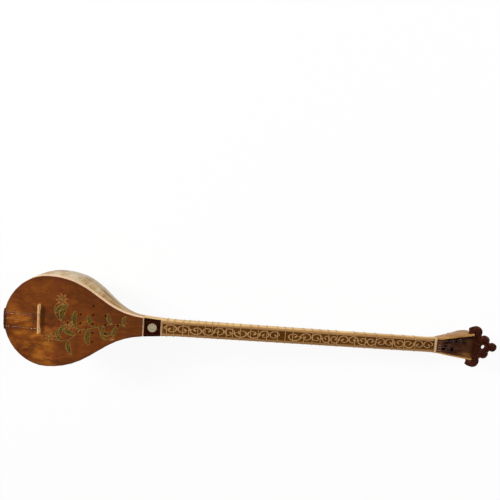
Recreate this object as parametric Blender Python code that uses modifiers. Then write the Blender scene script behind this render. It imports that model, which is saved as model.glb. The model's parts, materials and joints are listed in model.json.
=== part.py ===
"""A setar: a long-necked lute with a staved bowl, tied frets, an open pegbox and a carved crest.

The instrument is modelled in its own axes: X runs from the bridge to the head, Y across it, and
Z out of the soundboard, whose face is Z = 0. An empty then lays the whole instrument on its back,
as it rests on a table: on the bowl and on the ends of the pegs.
"""

import math

import bmesh
import bpy
from mathutils import Matrix, Vector

MM = 0.001

# Small steps for slopes and searches
PROBE_STEP = 0.05
PROBE_ANGLE = 0.002
BISECTIONS = 50
FULL_CIRCLE = 360.0

# Clearances, in millimetres like every size below
FIT_GAP = 0.3
PEG_GAP = 0.25

# Scale of the instrument
STRING_LENGTH = 650.0
BOWL_HALF_WIDTH = 75.8
BOWL_DEPTH = 133.0
WIDEST_X = 13.0
TAIL_X = -53.3
TAIL_HALF_WIDTH = 17.0
TAIL_ROUNDNESS = 1.92
JOINT_X = 166.0

# Shoulders of the soundboard and of the keel, as handles of a Bezier curve
SHOULDER_HANDLE_WIDE = 74.0
SHOULDER_HANDLE_NECK = 70.0
KEEL_HANDLE_DEEP = 72.0
KEEL_HANDLE_NECK = 45.0
JOINT_HALF_WIDTH = 15.8
JOINT_DEPTH = 29.5
SHOULDER_SLOPE_AT_NECK = 0.09
KEEL_SLOPE_AT_NECK = 0.10
BOWL_ROUNDNESS = 2.6
NECK_START_ROUNDNESS = 3.2
NECK_END_ROUNDNESS = 2.5
ROUNDNESS_BLEND_POWER = 2.0

# Bowl
STAVE_COUNT = 11
STAVE_THICKNESS = 2.8
TAIL_STATIONS = 8
SHOULDER_STATIONS = 11
FACETS_PER_STAVE = 2
SEAM_GAP = 0.3
BLOCK_GAP = 0.4
TAIL_BLOCK_LENGTH = 16.0
NECK_BLOCK_LENGTH = 27.0
NECK_BLOCK_STATIONS = 6
TAIL_BLOCK_INSET = 1.1
SEAM_SEARCH_STEPS = 400

# Soundboard
BOARD_THICKNESS = 2.6
RIM_BAND_HEIGHT = 4.5
RIM_BAND_THICKNESS = 3.0
SOUND_HOLE_RADIUS = 1.6
SOUND_HOLE_CENTRE_X = 86.2
SOUND_HOLE_STEP_X = 20.0
SOUND_HOLE_STEP_Y = 15.0
SOUND_HOLE_ROWS = (1, 3, 5, 3, 1)
SOUND_HOLE_SIDES = 10

# Neck joint
STRIP_WIDTH = 2.2
PLATE_LENGTH = 27.4
PLATE_THICKNESS = 2.0
DISC_RADIUS = 7.2
DISC_THICKNESS = 1.0
DISC_SIDES = 24

# Neck
NECK_START_HALF_WIDTH = 12.2
NECK_END_HALF_WIDTH = 12.0
NECK_START_DEPTH = 27.0
NECK_END_DEPTH = 19.5
NECK_END_FLARE = 0.6
NECK_END_DEPTH_FLARE = 2.5
NECK_FLARE_LENGTH = 20.0
NECK_BLEND_LENGTH = 62.0
NECK_BLEND_POWER = 1.6
NECK_FACETS = 10
PANEL_SHARE_OF_FACE = 0.62
PANEL_THICKNESS = 1.2
PANEL_END_MARGIN = 0.6
NECK_START_GAP = 0.1
NECK_BEND_SHARES = (0.8, 0.6, 0.4, 0.2, 0.0)
NECK_FLARE_SHARES = (1.0, 0.6, 0.3)
CUTTER_OVERSHOOT = 5.0

# Frets: the pitch of each above the open string, in cents, and the gut they are tied from
FRET_CENTS = (
    90, 142, 200, 285, 343, 400, 504, 554, 605, 656, 714, 788, 842, 898,
    978, 1048, 1108, 1196, 1266, 1322, 1402, 1460, 1534, 1612, 1714, 1786, 1898, 1994,
)
FRET_WIDTH = 1.7
FRET_HEIGHT = 0.6

# Nut
NUT_THICKNESS = 3.2
NUT_HEIGHT = 1.6
NUT_SEAT_DEPTH = 2.0

# Bridge, which stands a little towards the neck from the start of the string length
BRIDGE_X = 1.4
BRIDGE_OFFSET_Y = 4.3
BRIDGE_LENGTH = 48.2
BRIDGE_TOP_LENGTH = 47.0
BRIDGE_FOOT_THICKNESS = 3.8
BRIDGE_TOP_THICKNESS = 2.2
BRIDGE_HEIGHT = 7.0
BRIDGE_ARCH_HALF_LENGTH = 17.0
BRIDGE_ARCH_HEIGHT = 3.2
BRIDGE_ARCH_SIDES = 20

# Tailpiece: how far out each ring of its rounded outside lies, and its share of the full width
TAILPIECE_PROFILE = ((0.0, 1.0), (0.8, 0.93), (1.5, 0.8), (1.9, 0.6))
TAILPIECE_RISE = 1.2
TAILPIECE_NOTCH_RADIUS = 0.9
TAILPIECE_NOTCH_SIDES = 8
PIN_RADIUS = 1.1
PIN_LENGTH = 3.4
PIN_ROOT = 1.5
PIN_DROP = 9.0
PIN_SIDES = 10

# Strings, from the upper side of the photograph to the lower. The first two lie close together
STRING_RADII = (0.2, 0.125, 0.125, 0.125)
STRING_Y_AT_TAIL = (13.4, 9.6, 0.8, -11.2)
STRING_Y_AT_BRIDGE = (13.6, 11.2, 0.8, -11.2)
STRING_Y_AT_NUT = (6.9, 0.9, -2.9, -6.6)
BRASS_STRINGS = (0, 2)
LOOP_POINTS = 10
LOOP_START_DEGREES = 45.0
LOOP_END_DEGREES = -225.0
TAIL_BEND_DROP = 1.2
TAIL_BEND_RUN = 0.6
TAIL_NOTCH_LIFT = 0.1

# Head
HEAD_LEAN_DEGREES = 3.5
PEGBOX_OUTER_HALF_WIDTHS = (
    (0.0, NECK_END_HALF_WIDTH + NECK_END_FLARE), (8.0, 14.0), (17.0, 15.8), (27.0, 17.4),
    (38.0, 19.2), (47.0, 20.5), (55.0, 21.8), (64.0, 22.8), (74.0, 18.5),
)
PEGBOX_DEPTHS = (
    (0.0, NECK_END_DEPTH + NECK_END_DEPTH_FLARE), (8.0, 22.0), (17.0, 21.5), (27.0, 23.5), (38.0, 29.0), (47.0, 33.5),
    (55.0, 34.5), (64.0, 29.5), (74.0, 11.0),
)
PEGBOX_ROUNDNESS = 5.0
PEGBOX_SQUARE_FROM_X = 10.0
PEGBOX_WALL = 4.3
PLATFORM_LENGTH = 9.5
PLATFORM_DROP = 3.5
PLATFORM_OVERLAP = 1.0
CAVITY_FLOORS = (
    (9.5, 10.5), (20.0, 12.5), (30.0, 14.5), (40.0, 14.5), (50.0, 12.0), (58.0, 8.5), (66.0, 5.6),
)
CAVITY_CORNER = 3.0
CAVITY_CORNER_CUT = 0.9
CAVITY_TOP = 8.0
LEDGE_X = 64.0

# Pegs: the string each one winds, where it stands in the head, and the height of its top turn
PEG_X = (44.2, 30.2, 24.2, 37.2)
PEG_Y = (6.5, 4.5, -6.5, -9.5)
PEG_OUTWARD_SIDE = (1, -1, 1, -1)
PEG_TOP_TURN_DROP = (5.5, 4.6, 4.6, 5.5)
PEG_TIP_DROP = 2.6
PEG_SPINDLE_RADIUS = 2.7
PEG_SHAFT_RADIUS = 3.1
PEG_COLLAR_RADIUS = 4.6
PEG_COLLAR_THICKNESS = 1.6
PEG_STALK_RADIUS = 2.0
PEG_STALK_LENGTH = 1.8
PEG_HEAD_HALF_WIDTH = 5.8
PEG_HEAD_HALF_THICKNESS = 2.4
PEG_HEAD_HALF_LENGTH = 6.2
PEG_SIDES = 14
PEG_EDGE = 0.5
PEG_STALK_INTO_HEAD = 1.0
PEG_STEP_BELOW_WINDING = 0.6
PEG_BORE_END = -45.0
PEG_HEAD_SEGMENTS = 12
PEG_HEAD_RINGS = 8

# Windings
WINDING_TURNS = 4
WINDING_POINTS_PER_TURN = 12
WINDING_CLEAR_SPACE = 0.5

# Crest: a carved plate on the ledge of the pegbox, whose curls lie beside the pegbox's walls
CREST_THICKNESS = 6.0
CREST_RISE = 0.5
CREST_EDGE_RADIUS = 0.8
CREST_SHARP_DEGREES = 60.0
HANG_HOLE_X = 83.2
HANG_HOLE_RADIUS = 3.4
HANG_HOLE_SIDES = 16
DISH_TOP_RADIUS = 7.0
DISH_BOTTOM_RADIUS = 2.8
DISH_DEPTH = 3.2
DISH_OVERSHOOT = 0.4
MOUTH_ARC_CENTRE_X = 35.1
MOUTH_ARC_RADIUS = 34.3
MOUTH_ARC_DEGREES = (3.0, 30.5)
MOUTH_CORNER_Y = 18.4
CURL_ROOT_X = 54.9
CURL_TIP = ((1.4, 1.8), (1.5, 4.2), (0.0, 8.2), (2.4, 10.6))
CURL_CENTRE = (68.0, 25.0)
CURL_RADIUS = 10.6
CURL_DEGREES = (112.0, -25.0)
MIDDLE_LOBE_CENTRE = (84.8, 11.3)
MIDDLE_LOBE_RADIUS = 8.5
MIDDLE_LOBE_DEGREES = (125.0, -18.0)
TIP_LOBE_X = 99.7
TIP_LOBE_RADIUS = 7.4
TIP_LOBE_DEGREES = (125.0, 9.0)
ARC_STEPS = 6

# Search for the lean at which the instrument rests
MOST_LEAN_DEGREES = 20.0


def clear_scene():
    for old in list(bpy.data.objects):
        bpy.data.objects.remove(old, do_unlink=True)


def new_collection(name):
    made = bpy.data.collections.new(name)
    bpy.context.scene.collection.children.link(made)
    return made


def new_material(name, colour, roughness, metallic=0.0):
    made = bpy.data.materials.new(name)
    made.use_nodes = True
    shader = made.node_tree.nodes["Principled BSDF"]
    shader.inputs["Base Color"].default_value = (*colour, 1.0)
    shader.inputs["Roughness"].default_value = roughness
    shader.inputs["Metallic"].default_value = metallic
    return made


clear_scene()
PARTS = new_collection("setar")
CUTTERS = new_collection("cutters")

BOARD_WOOD = new_material("board_wood", (0.30, 0.09, 0.03), 0.35)
STAVE_WOOD = new_material("stave_wood", (0.66, 0.48, 0.27), 0.35)
RIM_WOOD = new_material("rim_wood", (0.86, 0.66, 0.42), 0.40)
NECK_WOOD = new_material("neck_wood", (0.58, 0.36, 0.15), 0.35)
DARK_WOOD = new_material("dark_wood", (0.05, 0.02, 0.02), 0.35)
PANEL_WOOD = new_material("panel_wood", (0.13, 0.05, 0.01), 0.45)
CREST_WOOD = new_material("crest_wood", (0.08, 0.02, 0.015), 0.40)
BLOCK_WOOD = new_material("block_wood", (0.62, 0.45, 0.27), 0.70)
BONE = new_material("bone", (0.70, 0.66, 0.46), 0.40)
GUT = new_material("gut", (0.66, 0.50, 0.28), 0.45)
STEEL = new_material("steel", (0.72, 0.72, 0.74), 0.25, 1.0)
BRASS = new_material("brass", (0.75, 0.55, 0.25), 0.25, 1.0)


def new_empty(name, parent=None):
    made = bpy.data.objects.new(name, None)
    PARTS.objects.link(made)
    made.parent = parent
    return made


INSTRUMENT = new_empty("instrument_axes")
HEAD = new_empty("head_axes", INSTRUMENT)


def place(made, material, parent, location=(0.0, 0.0, 0.0)):
    """Gives a new object its material, its parent and its place in the parent's axes."""
    made.data.materials.append(material)
    made.parent = parent
    made.location = Vector(location) * MM
    return made


def as_cutter(made):
    for holder in list(made.users_collection):
        holder.objects.unlink(made)
    CUTTERS.objects.link(made)
    made.hide_render = True
    made.display_type = "WIRE"
    return made


def object_from_bmesh(name, shape):
    bmesh.ops.recalc_face_normals(shape, faces=shape.faces)
    mesh = bpy.data.meshes.new(name)
    shape.to_mesh(mesh)
    shape.free()
    made = bpy.data.objects.new(name, mesh)
    PARTS.objects.link(made)
    return made


def lofted(name, rings):
    """Makes a closed solid through rings of equally many points, in millimetres, with flat ends."""
    shape = bmesh.new()
    loops = [[shape.verts.new(Vector(point) * MM) for point in ring] for ring in rings]
    for near, far in zip(loops, loops[1:]):
        for index in range(len(near)):
            following = (index + 1) % len(near)
            shape.faces.new((near[index], near[following], far[following], far[index]))
    shape.faces.new(list(reversed(loops[0])))
    shape.faces.new(loops[-1])
    return object_from_bmesh(name, shape)


def box(name, low, high):
    shape = bmesh.new()
    bmesh.ops.create_cube(shape, size=1.0)
    size = Vector(high) - Vector(low)
    middle = (Vector(high) + Vector(low)) / 2
    bmesh.ops.scale(shape, vec=size * MM, verts=shape.verts)
    bmesh.ops.translate(shape, vec=middle * MM, verts=shape.verts)
    return object_from_bmesh(name, shape)


def cylinder(name, radius, bottom, top, sides, centre=(0.0, 0.0), top_radius=None):
    """Makes an upright cylinder, or a cone, whose ends lie at the heights bottom and top."""
    shape = bmesh.new()
    bmesh.ops.create_cone(
        shape, cap_ends=True, segments=sides, radius1=radius * MM,
        radius2=(top_radius or radius) * MM, depth=(top - bottom) * MM)
    middle = Vector((centre[0], centre[1], (top + bottom) / 2))
    bmesh.ops.translate(shape, vec=middle * MM, verts=shape.verts)
    return object_from_bmesh(name, shape)


def flat_plate(name, loops, bottom, top):
    """Fills the first loop, leaves the others open as holes, and gives the plate its thickness."""
    curve = bpy.data.curves.new(name, "CURVE")
    curve.dimensions = "2D"
    curve.fill_mode = "BOTH"
    curve.extrude = (top - bottom) / 2 * MM
    for loop in loops:
        spline = curve.splines.new("POLY")
        spline.points.add(len(loop) - 1)
        for knot, (x, y) in zip(spline.points, loop):
            knot.co = (x * MM, y * MM, 0.0, 1.0)
        spline.use_cyclic_u = True
    made = bpy.data.objects.new(name, curve)
    PARTS.objects.link(made)
    return made


def wire(name, path, radius, bevel_resolution):
    curve = bpy.data.curves.new(name, "CURVE")
    curve.dimensions = "3D"
    curve.bevel_depth = radius * MM
    curve.bevel_resolution = bevel_resolution
    curve.use_fill_caps = True
    spline = curve.splines.new("POLY")
    spline.points.add(len(path) - 1)
    for knot, point in zip(spline.points, path):
        knot.co = (*(Vector(point) * MM), 1.0)
    made = bpy.data.objects.new(name, curve)
    PARTS.objects.link(made)
    return made


def meshed(source):
    """Turns a curve, with its modifiers, into a mesh object of the same name."""
    evaluated = source.evaluated_get(bpy.context.evaluated_depsgraph_get())
    mesh = bpy.data.meshes.new_from_object(evaluated)
    shape = bmesh.new()
    shape.from_mesh(mesh)
    bmesh.ops.remove_doubles(shape, verts=shape.verts, dist=0.00001)
    bmesh.ops.recalc_face_normals(shape, faces=shape.faces)
    shape.to_mesh(mesh)
    shape.free()
    name = source.name
    parent, basis = source.parent, source.matrix_basis.copy()
    bpy.data.objects.remove(source, do_unlink=True)
    mesh.name = name
    made = bpy.data.objects.new(name, mesh)
    PARTS.objects.link(made)
    made.parent = parent
    made.matrix_basis = basis
    return made


def combine(target, tool, operation):
    """Adds a Boolean modifier, with the tool kept as a hidden cutter in the target's axes."""
    as_cutter(tool)
    tool.parent = target.parent
    modifier = target.modifiers.new(tool.name, "BOOLEAN")
    modifier.operation = operation
    modifier.solver = "EXACT"
    modifier.object = tool


def between(table, x):
    """Reads a straight-line table of (x, value) pairs."""
    for (x0, v0), (x1, v1) in zip(table, table[1:]):
        if x <= x1:
            return v0 + (v1 - v0) * (x - x0) / (x1 - x0)
    return table[-1][1]


def circle(centre, radius, sides, start=0.0, end=FULL_CIRCLE):
    """Points of a circle, or of an arc with both its ends, angles in degrees."""
    whole = abs(end - start) >= FULL_CIRCLE
    steps = sides if whole else sides + 1
    angles = [math.radians(start + (end - start) * step / sides) for step in range(steps)]
    return [(centre[0] + radius * math.cos(a), centre[1] + radius * math.sin(a)) for a in angles]


def bezier_height(x, points):
    """Height at x of a Bezier curve whose x grows all the way."""
    low, high = 0.0, 1.0
    for _ in range(BISECTIONS):
        t = (low + high) / 2
        weights = ((1 - t) ** 3, 3 * t * (1 - t) ** 2, 3 * t * t * (1 - t), t ** 3)
        if sum(w * p[0] for w, p in zip(weights, points)) < x:
            low = t
        else:
            high = t
    return sum(w * p[1] for w, p in zip(weights, points))


# Tail half of the bowl is nearly an ellipse, in plan and in side view, cut off flat at the tail
def tail_share_at(share_of_length):
    return max(0.0, 1 - share_of_length ** TAIL_ROUNDNESS) ** (1 / TAIL_ROUNDNESS)


TAIL_LENGTH = (WIDEST_X - TAIL_X) / tail_share_at(TAIL_HALF_WIDTH / BOWL_HALF_WIDTH)


def tail_share(x):
    return tail_share_at((WIDEST_X - x) / TAIL_LENGTH)


def shoulder(x, full, at_joint, wide_handle, neck_handle, slope):
    return bezier_height(x, (
        (WIDEST_X, full), (WIDEST_X + wide_handle, full),
        (JOINT_X - neck_handle, at_joint + slope * neck_handle), (JOINT_X, at_joint)))


def bowl_half_width(x):
    if x <= WIDEST_X:
        return BOWL_HALF_WIDTH * tail_share(x)
    return shoulder(x, BOWL_HALF_WIDTH, JOINT_HALF_WIDTH,
                    SHOULDER_HANDLE_WIDE, SHOULDER_HANDLE_NECK, SHOULDER_SLOPE_AT_NECK)


def bowl_depth(x):
    if x <= WIDEST_X:
        return BOWL_DEPTH * tail_share(x)
    return shoulder(x, BOWL_DEPTH, JOINT_DEPTH, KEEL_HANDLE_DEEP, KEEL_HANDLE_NECK, KEEL_SLOPE_AT_NECK)


def bowl_roundness(x):
    along = max(0.0, (x - WIDEST_X) / (JOINT_X - WIDEST_X))
    return BOWL_ROUNDNESS + (NECK_START_ROUNDNESS - BOWL_ROUNDNESS) * along ** ROUNDNESS_BLEND_POWER


def superellipse(half_width, depth, roundness, angle):
    """Point of a rounded U section: angle 0 is the +Y edge, a right angle is the deepest point."""
    c, s = math.cos(angle), math.sin(angle)
    y = math.copysign(abs(c) ** (2 / roundness), c) * half_width
    return y, -depth * abs(s) ** (2 / roundness)


def bowl_point(x, angle):
    y, z = superellipse(bowl_half_width(x), bowl_depth(x), bowl_roundness(x), angle)
    return Vector((x, y, z))


def bowl_normal(x, angle):
    x_low, x_high = max(x - PROBE_STEP, TAIL_X), min(x + PROBE_STEP, JOINT_X)
    along = bowl_point(x_high, angle) - bowl_point(x_low, angle)
    around = bowl_point(x, angle + PROBE_ANGLE) - bowl_point(x, angle - PROBE_ANGLE)
    return along.cross(around).normalized()


def bowl_stations(end_x):
    """Stations along the bowl, close together at the tail, where it turns fastest."""
    first = math.acos((WIDEST_X - TAIL_X) / TAIL_LENGTH)
    swing = math.pi / 2 - first
    tail = [WIDEST_X - TAIL_LENGTH * math.cos(first + swing * i / TAIL_STATIONS)
            for i in range(TAIL_STATIONS)]
    rest = [WIDEST_X + (end_x - WIDEST_X) * i / SHOULDER_STATIONS
            for i in range(SHOULDER_STATIONS + 1)]
    return tail + rest


STAVE_TOP = BOARD_THICKNESS + FIT_GAP + RIM_BAND_HEIGHT + FIT_GAP


def angle_at_depth(x, depth):
    share = min(1.0, depth / bowl_depth(x))
    return math.asin(share ** (bowl_roundness(x) / 2))


def seam_shares():
    """Shares of the angle from rim to keel at which seams lie, for staves of equal width."""
    start = angle_at_depth(WIDEST_X, STAVE_TOP)
    steps = SEAM_SEARCH_STEPS
    angles = [start + (math.pi / 2 - start) * i / steps for i in range(steps + 1)]
    lengths = [0.0]
    for a, b in zip(angles, angles[1:]):
        lengths.append(lengths[-1] + (bowl_point(WIDEST_X, b) - bowl_point(WIDEST_X, a)).length)
    stave_width = lengths[-1] / (STAVE_COUNT / 2)
    shares = []
    for seam in range(STAVE_COUNT // 2 + 1):
        nearest = min(range(steps + 1), key=lambda i: abs(lengths[i] - seam * stave_width))
        shares.append(nearest / steps)
    print("stave width at the widest station %.1f mm" % stave_width)
    return shares


def stave_ring(x, first_share, last_share, first_gap, last_gap):
    """Section of a stave between two seams, mitred along the bowl's own normals."""
    start = angle_at_depth(x, STAVE_TOP)
    span = math.pi / 2 - start
    first, last = start + span * first_share, start + span * last_share
    width = (bowl_point(x, last) - bowl_point(x, first)).length
    inset = (last - first) * SEAM_GAP / 2 / width
    first += inset * first_gap
    last -= inset * last_gap
    angles = [first + (last - first) * i / FACETS_PER_STAVE for i in range(FACETS_PER_STAVE + 1)]
    outer = [bowl_point(x, a) for a in angles]
    inner = [bowl_point(x, a) - bowl_normal(x, a) * STAVE_THICKNESS for a in angles]
    return outer + list(reversed(inner))


def keel_ring(x, last_share):
    """Section of the keel stave, flat across its outside, from seam to seam."""
    ring = stave_ring(x, last_share, 1.0, 1, 0)
    outer, inner = ring[0], ring[-1]
    other = [Vector((p.x, -p.y, p.z)) for p in (outer, inner)]
    return [outer, other[0], other[1], inner]


def mirrored(rings):
    return [[Vector((p[0], -p[1], p[2])) for p in reversed(ring)] for ring in rings]


def make_bowl():
    """Staves numbered from the +Y rim, under the keel, to the other rim. The middle one is the keel."""
    shares = seam_shares()
    stations = bowl_stations(JOINT_X - FIT_GAP)
    keel_number = STAVE_COUNT // 2 + 1
    for number, (first, last) in enumerate(zip(shares, shares[1:]), start=1):
        rings = [stave_ring(x, first, last, 0 if number == 1 else 1, 1) for x in stations]
        stave = lofted("bowl_stave_%02d" % number, rings)
        place(stave, STAVE_WOOD, INSTRUMENT)
        opposite = lofted("bowl_stave_%02d" % (2 * keel_number - number), mirrored(rings))
        place(opposite, STAVE_WOOD, INSTRUMENT)
    keel = lofted("bowl_stave_%02d" % keel_number, [keel_ring(x, shares[-1]) for x in stations])
    place(keel, STAVE_WOOD, INSTRUMENT)


def rim_point(x, inset):
    """Point on the plan outline of the body, moved in along the outline's own normal."""
    x_low, x_high = max(x - PROBE_STEP, TAIL_X), min(x + PROBE_STEP, JOINT_X)
    slope = Vector((x_high - x_low, bowl_half_width(x_high) - bowl_half_width(x_low)))
    normal = Vector((-slope.y, slope.x)).normalized()
    return x - normal.x * inset, bowl_half_width(x) - normal.y * inset


def both_sides(half_outline):
    return half_outline + [(x, -y) for x, y in reversed(half_outline)]


def make_rim_band():
    """Light band under the soundboard's edge, in one length from the neck round the tail and back."""
    stations = list(reversed(bowl_stations(JOINT_X - FIT_GAP)))
    outer = both_sides([rim_point(x, 0.0) for x in stations])
    inner = both_sides([rim_point(x, RIM_BAND_THICKNESS) for x in stations if x > TAIL_X]
                       + [(TAIL_X + RIM_BAND_THICKNESS, TAIL_HALF_WIDTH - RIM_BAND_THICKNESS)])
    top = -BOARD_THICKNESS - FIT_GAP
    band = flat_plate("rim_band", [outer + list(reversed(inner))], top - RIM_BAND_HEIGHT, top)
    place(band, RIM_WOOD, INSTRUMENT, (0.0, 0.0, top - RIM_BAND_HEIGHT / 2))


def make_tail_block():
    """Plug that closes the bowl at the tail, where the staves end."""
    half_width = TAIL_HALF_WIDTH - TAIL_BLOCK_INSET
    depth = bowl_depth(TAIL_X) - TAIL_BLOCK_INSET
    top = STAVE_TOP
    rings = []
    for x in (TAIL_X, TAIL_X + TAIL_BLOCK_LENGTH):
        start = math.asin((top / depth) ** (BOWL_ROUNDNESS / 2))
        angles = [start + (math.pi - 2 * start) * i / NECK_FACETS for i in range(NECK_FACETS + 1)]
        rings.append([(x, *superellipse(half_width, depth, BOWL_ROUNDNESS, a)) for a in angles])
    place(lofted("tail_block", rings), BLOCK_WOOD, INSTRUMENT)


def inset_along_slope(profile, x, distance):
    """Value of a profile at x, moved in by a distance measured square to the profile."""
    slope = (profile(x) - profile(x - PROBE_STEP)) / PROBE_STEP
    return profile(x) - distance * math.sqrt(1 + slope ** 2)


def make_neck_block():
    """Block glued inside the bowl's narrow end, which carries the neck."""
    top = BOARD_THICKNESS + FIT_GAP
    inset = max(STAVE_THICKNESS, RIM_BAND_THICKNESS) + BLOCK_GAP
    rings = []
    for step in range(NECK_BLOCK_STATIONS + 1):
        x = JOINT_X - FIT_GAP - NECK_BLOCK_LENGTH * (1 - step / NECK_BLOCK_STATIONS)
        half_width = inset_along_slope(bowl_half_width, x, inset)
        depth = inset_along_slope(bowl_depth, x, inset)
        start = math.asin((top / depth) ** (bowl_roundness(x) / 2))
        angles = [start + (math.pi - 2 * start) * i / NECK_FACETS for i in range(NECK_FACETS + 1)]
        rings.append([(x, *superellipse(half_width, depth, bowl_roundness(x), a)) for a in angles])
    place(lofted("neck_block", rings), BLOCK_WOOD, INSTRUMENT)


def sound_hole_centres():
    middle_row = (len(SOUND_HOLE_ROWS) - 1) / 2
    for row, count in enumerate(SOUND_HOLE_ROWS):
        y = (middle_row - row) * SOUND_HOLE_STEP_Y
        for column in range(count):
            yield SOUND_HOLE_CENTRE_X + (column - (count - 1) / 2) * SOUND_HOLE_STEP_X, y


def make_soundboard():
    outline = both_sides([(x, bowl_half_width(x)) for x in bowl_stations(JOINT_X - FIT_GAP)])
    holes = [circle(centre, SOUND_HOLE_RADIUS, SOUND_HOLE_SIDES) for centre in sound_hole_centres()]
    board = flat_plate("soundboard", [outline] + holes, -BOARD_THICKNESS, 0.0)
    place(board, BOARD_WOOD, INSTRUMENT, (0.0, 0.0, -BOARD_THICKNESS / 2))


# Stretches of the neck's face: a strip of bare wood, the dark plate, another strip, the fingerboard
PLATE_X = JOINT_X + STRIP_WIDTH
FACE_X = PLATE_X + PLATE_LENGTH + STRIP_WIDTH
NECK_X = JOINT_X + NECK_BLEND_LENGTH
NUT_X = STRING_LENGTH
HEAD_X = NUT_X + NUT_THICKNESS + 2 * FIT_GAP


def neck_size(x):
    """Half width and depth of the neck at x, which narrows fast near the body."""
    if x < NECK_X:
        share = ((NECK_X - x) / NECK_BLEND_LENGTH) ** NECK_BLEND_POWER
        return (NECK_START_HALF_WIDTH + (JOINT_HALF_WIDTH - NECK_START_HALF_WIDTH) * share,
                NECK_START_DEPTH + (JOINT_DEPTH - NECK_START_DEPTH) * share)
    along = (x - NECK_X) / (NUT_X - NECK_X)
    flare = max(0.0, (x - (HEAD_X - NECK_FLARE_LENGTH)) / NECK_FLARE_LENGTH)
    half_width = NECK_START_HALF_WIDTH + (NECK_END_HALF_WIDTH - NECK_START_HALF_WIDTH) * along
    depth = NECK_START_DEPTH + (NECK_END_DEPTH - NECK_START_DEPTH) * along
    return half_width + NECK_END_FLARE * flare ** 2, depth + NECK_END_DEPTH_FLARE * flare ** 2


def neck_roundness(x):
    along = min(1.0, (x - JOINT_X) / (NUT_X - JOINT_X))
    return NECK_START_ROUNDNESS + (NECK_END_ROUNDNESS - NECK_START_ROUNDNESS) * along


def neck_angles():
    return [math.pi * i / NECK_FACETS for i in range(NECK_FACETS + 1)]


def neck_ring(x):
    half_width, depth = neck_size(x)
    return [(x, *superellipse(half_width, depth, neck_roundness(x), a)) for a in neck_angles()]


def make_neck():
    bend = [NECK_X - NECK_BLEND_LENGTH * share for share in NECK_BEND_SHARES]
    flare = [HEAD_X - NECK_FLARE_LENGTH * share for share in NECK_FLARE_SHARES]
    stations = [JOINT_X + NECK_START_GAP] + bend + [(NECK_X + HEAD_X) / 2] + flare
    rings = [neck_ring(x) for x in stations]
    end_half_width, end_depth = neck_size(HEAD_X)
    lean = Matrix.Rotation(math.radians(HEAD_LEAN_DEGREES), 4, "Y")
    end_ring = []
    for angle in neck_angles():
        y, z = superellipse(end_half_width, end_depth, NECK_END_ROUNDNESS, angle)
        end_ring.append(Vector((HEAD_X, 0, 0)) + lean @ Vector((-FIT_GAP, y, z)))
    neck = place(lofted("neck", rings + [end_ring]), NECK_WOOD, INSTRUMENT)
    wide, above = JOINT_HALF_WIDTH * 2, CUTTER_OVERSHOOT
    plate_floor, nut_floor = -PLATE_THICKNESS - FIT_GAP, -NUT_SEAT_DEPTH - FIT_GAP
    cuts = (
        box("plate_seat", (PLATE_X, -wide, plate_floor), (PLATE_X + PLATE_LENGTH, wide, above)),
        box("nut_seat", (NUT_X - FIT_GAP, -wide, nut_floor), (HEAD_X + above, wide, above)),
        face_panel("panel_seat", FIT_GAP, -PANEL_THICKNESS - FIT_GAP, above),
    )
    for cutter in cuts:
        combine(neck, cutter, "DIFFERENCE")


def face_panel(name, margin, bottom, top):
    """Tapered panel along the face of the neck, grown all round by a margin."""
    start_x, end_x = FACE_X + FIT_GAP + PANEL_END_MARGIN, NUT_X - FIT_GAP - PANEL_END_MARGIN
    rings = []
    for x in (start_x - margin, end_x + margin):
        half_width = PANEL_SHARE_OF_FACE * neck_size(min(max(x, start_x), end_x))[0] + margin
        rings.append([(x, half_width, bottom), (x, half_width, top),
                      (x, -half_width, top), (x, -half_width, bottom)])
    return lofted(name, rings)


def make_fingerboard():
    place(face_panel("fingerboard", 0.0, -PANEL_THICKNESS, 0.0), PANEL_WOOD, INSTRUMENT)


def make_joint_plate():
    """Dark plate let into the face of the neck over the joint, with a pale disc in its middle."""
    rings = []
    for x in (PLATE_X + FIT_GAP, PLATE_X + PLATE_LENGTH - FIT_GAP):
        half_width = neck_size(x)[0]
        rings.append([(x, half_width, -PLATE_THICKNESS), (x, half_width, 0.0),
                      (x, -half_width, 0.0), (x, -half_width, -PLATE_THICKNESS)])
    plate = place(lofted("joint_plate", rings), DARK_WOOD, INSTRUMENT)
    centre = (PLATE_X + PLATE_LENGTH / 2, 0.0)
    seat_floor = -DISC_THICKNESS - FIT_GAP
    seat = cylinder("disc_seat", DISC_RADIUS + FIT_GAP, seat_floor, CUTTER_OVERSHOOT, DISC_SIDES, centre)
    combine(plate, seat, "DIFFERENCE")
    disc = cylinder("disc_inlay", DISC_RADIUS, -DISC_THICKNESS, 0.0, DISC_SIDES, centre)
    place(disc, BONE, INSTRUMENT)


def fret_x(cents):
    return STRING_LENGTH * 2 ** (-cents / 1200)


def fret_loop(x, grow):
    """Closed loop round the neck at x, at a distance from its surface."""
    half_width, depth = neck_size(x)
    around = [superellipse(half_width + grow, depth + grow, neck_roundness(x), a)
              for a in neck_angles()[1:-1]]
    return [(half_width + grow, grow)] + around + [(-half_width - grow, grow)]


def make_fret(number, x):
    """Band of gut round the neck: a closed ring of square section."""
    inner, outer = fret_loop(x, FIT_GAP), fret_loop(x, FIT_GAP + FRET_HEIGHT)
    half = FRET_WIDTH / 2
    shape = bmesh.new()
    corners = [[shape.verts.new(Vector((side * half, *point)) * MM) for point in loop]
               for loop, side in ((inner, -1), (outer, -1), (outer, 1), (inner, 1))]
    for band, next_band in zip(corners, corners[1:] + corners[:1]):
        for index in range(len(band)):
            following = (index + 1) % len(band)
            shape.faces.new((band[index], band[following], next_band[following], next_band[index]))
    fret = object_from_bmesh("fret_%02d" % number, shape)
    place(fret, GUT, INSTRUMENT, (x, 0.0, 0.0))


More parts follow.
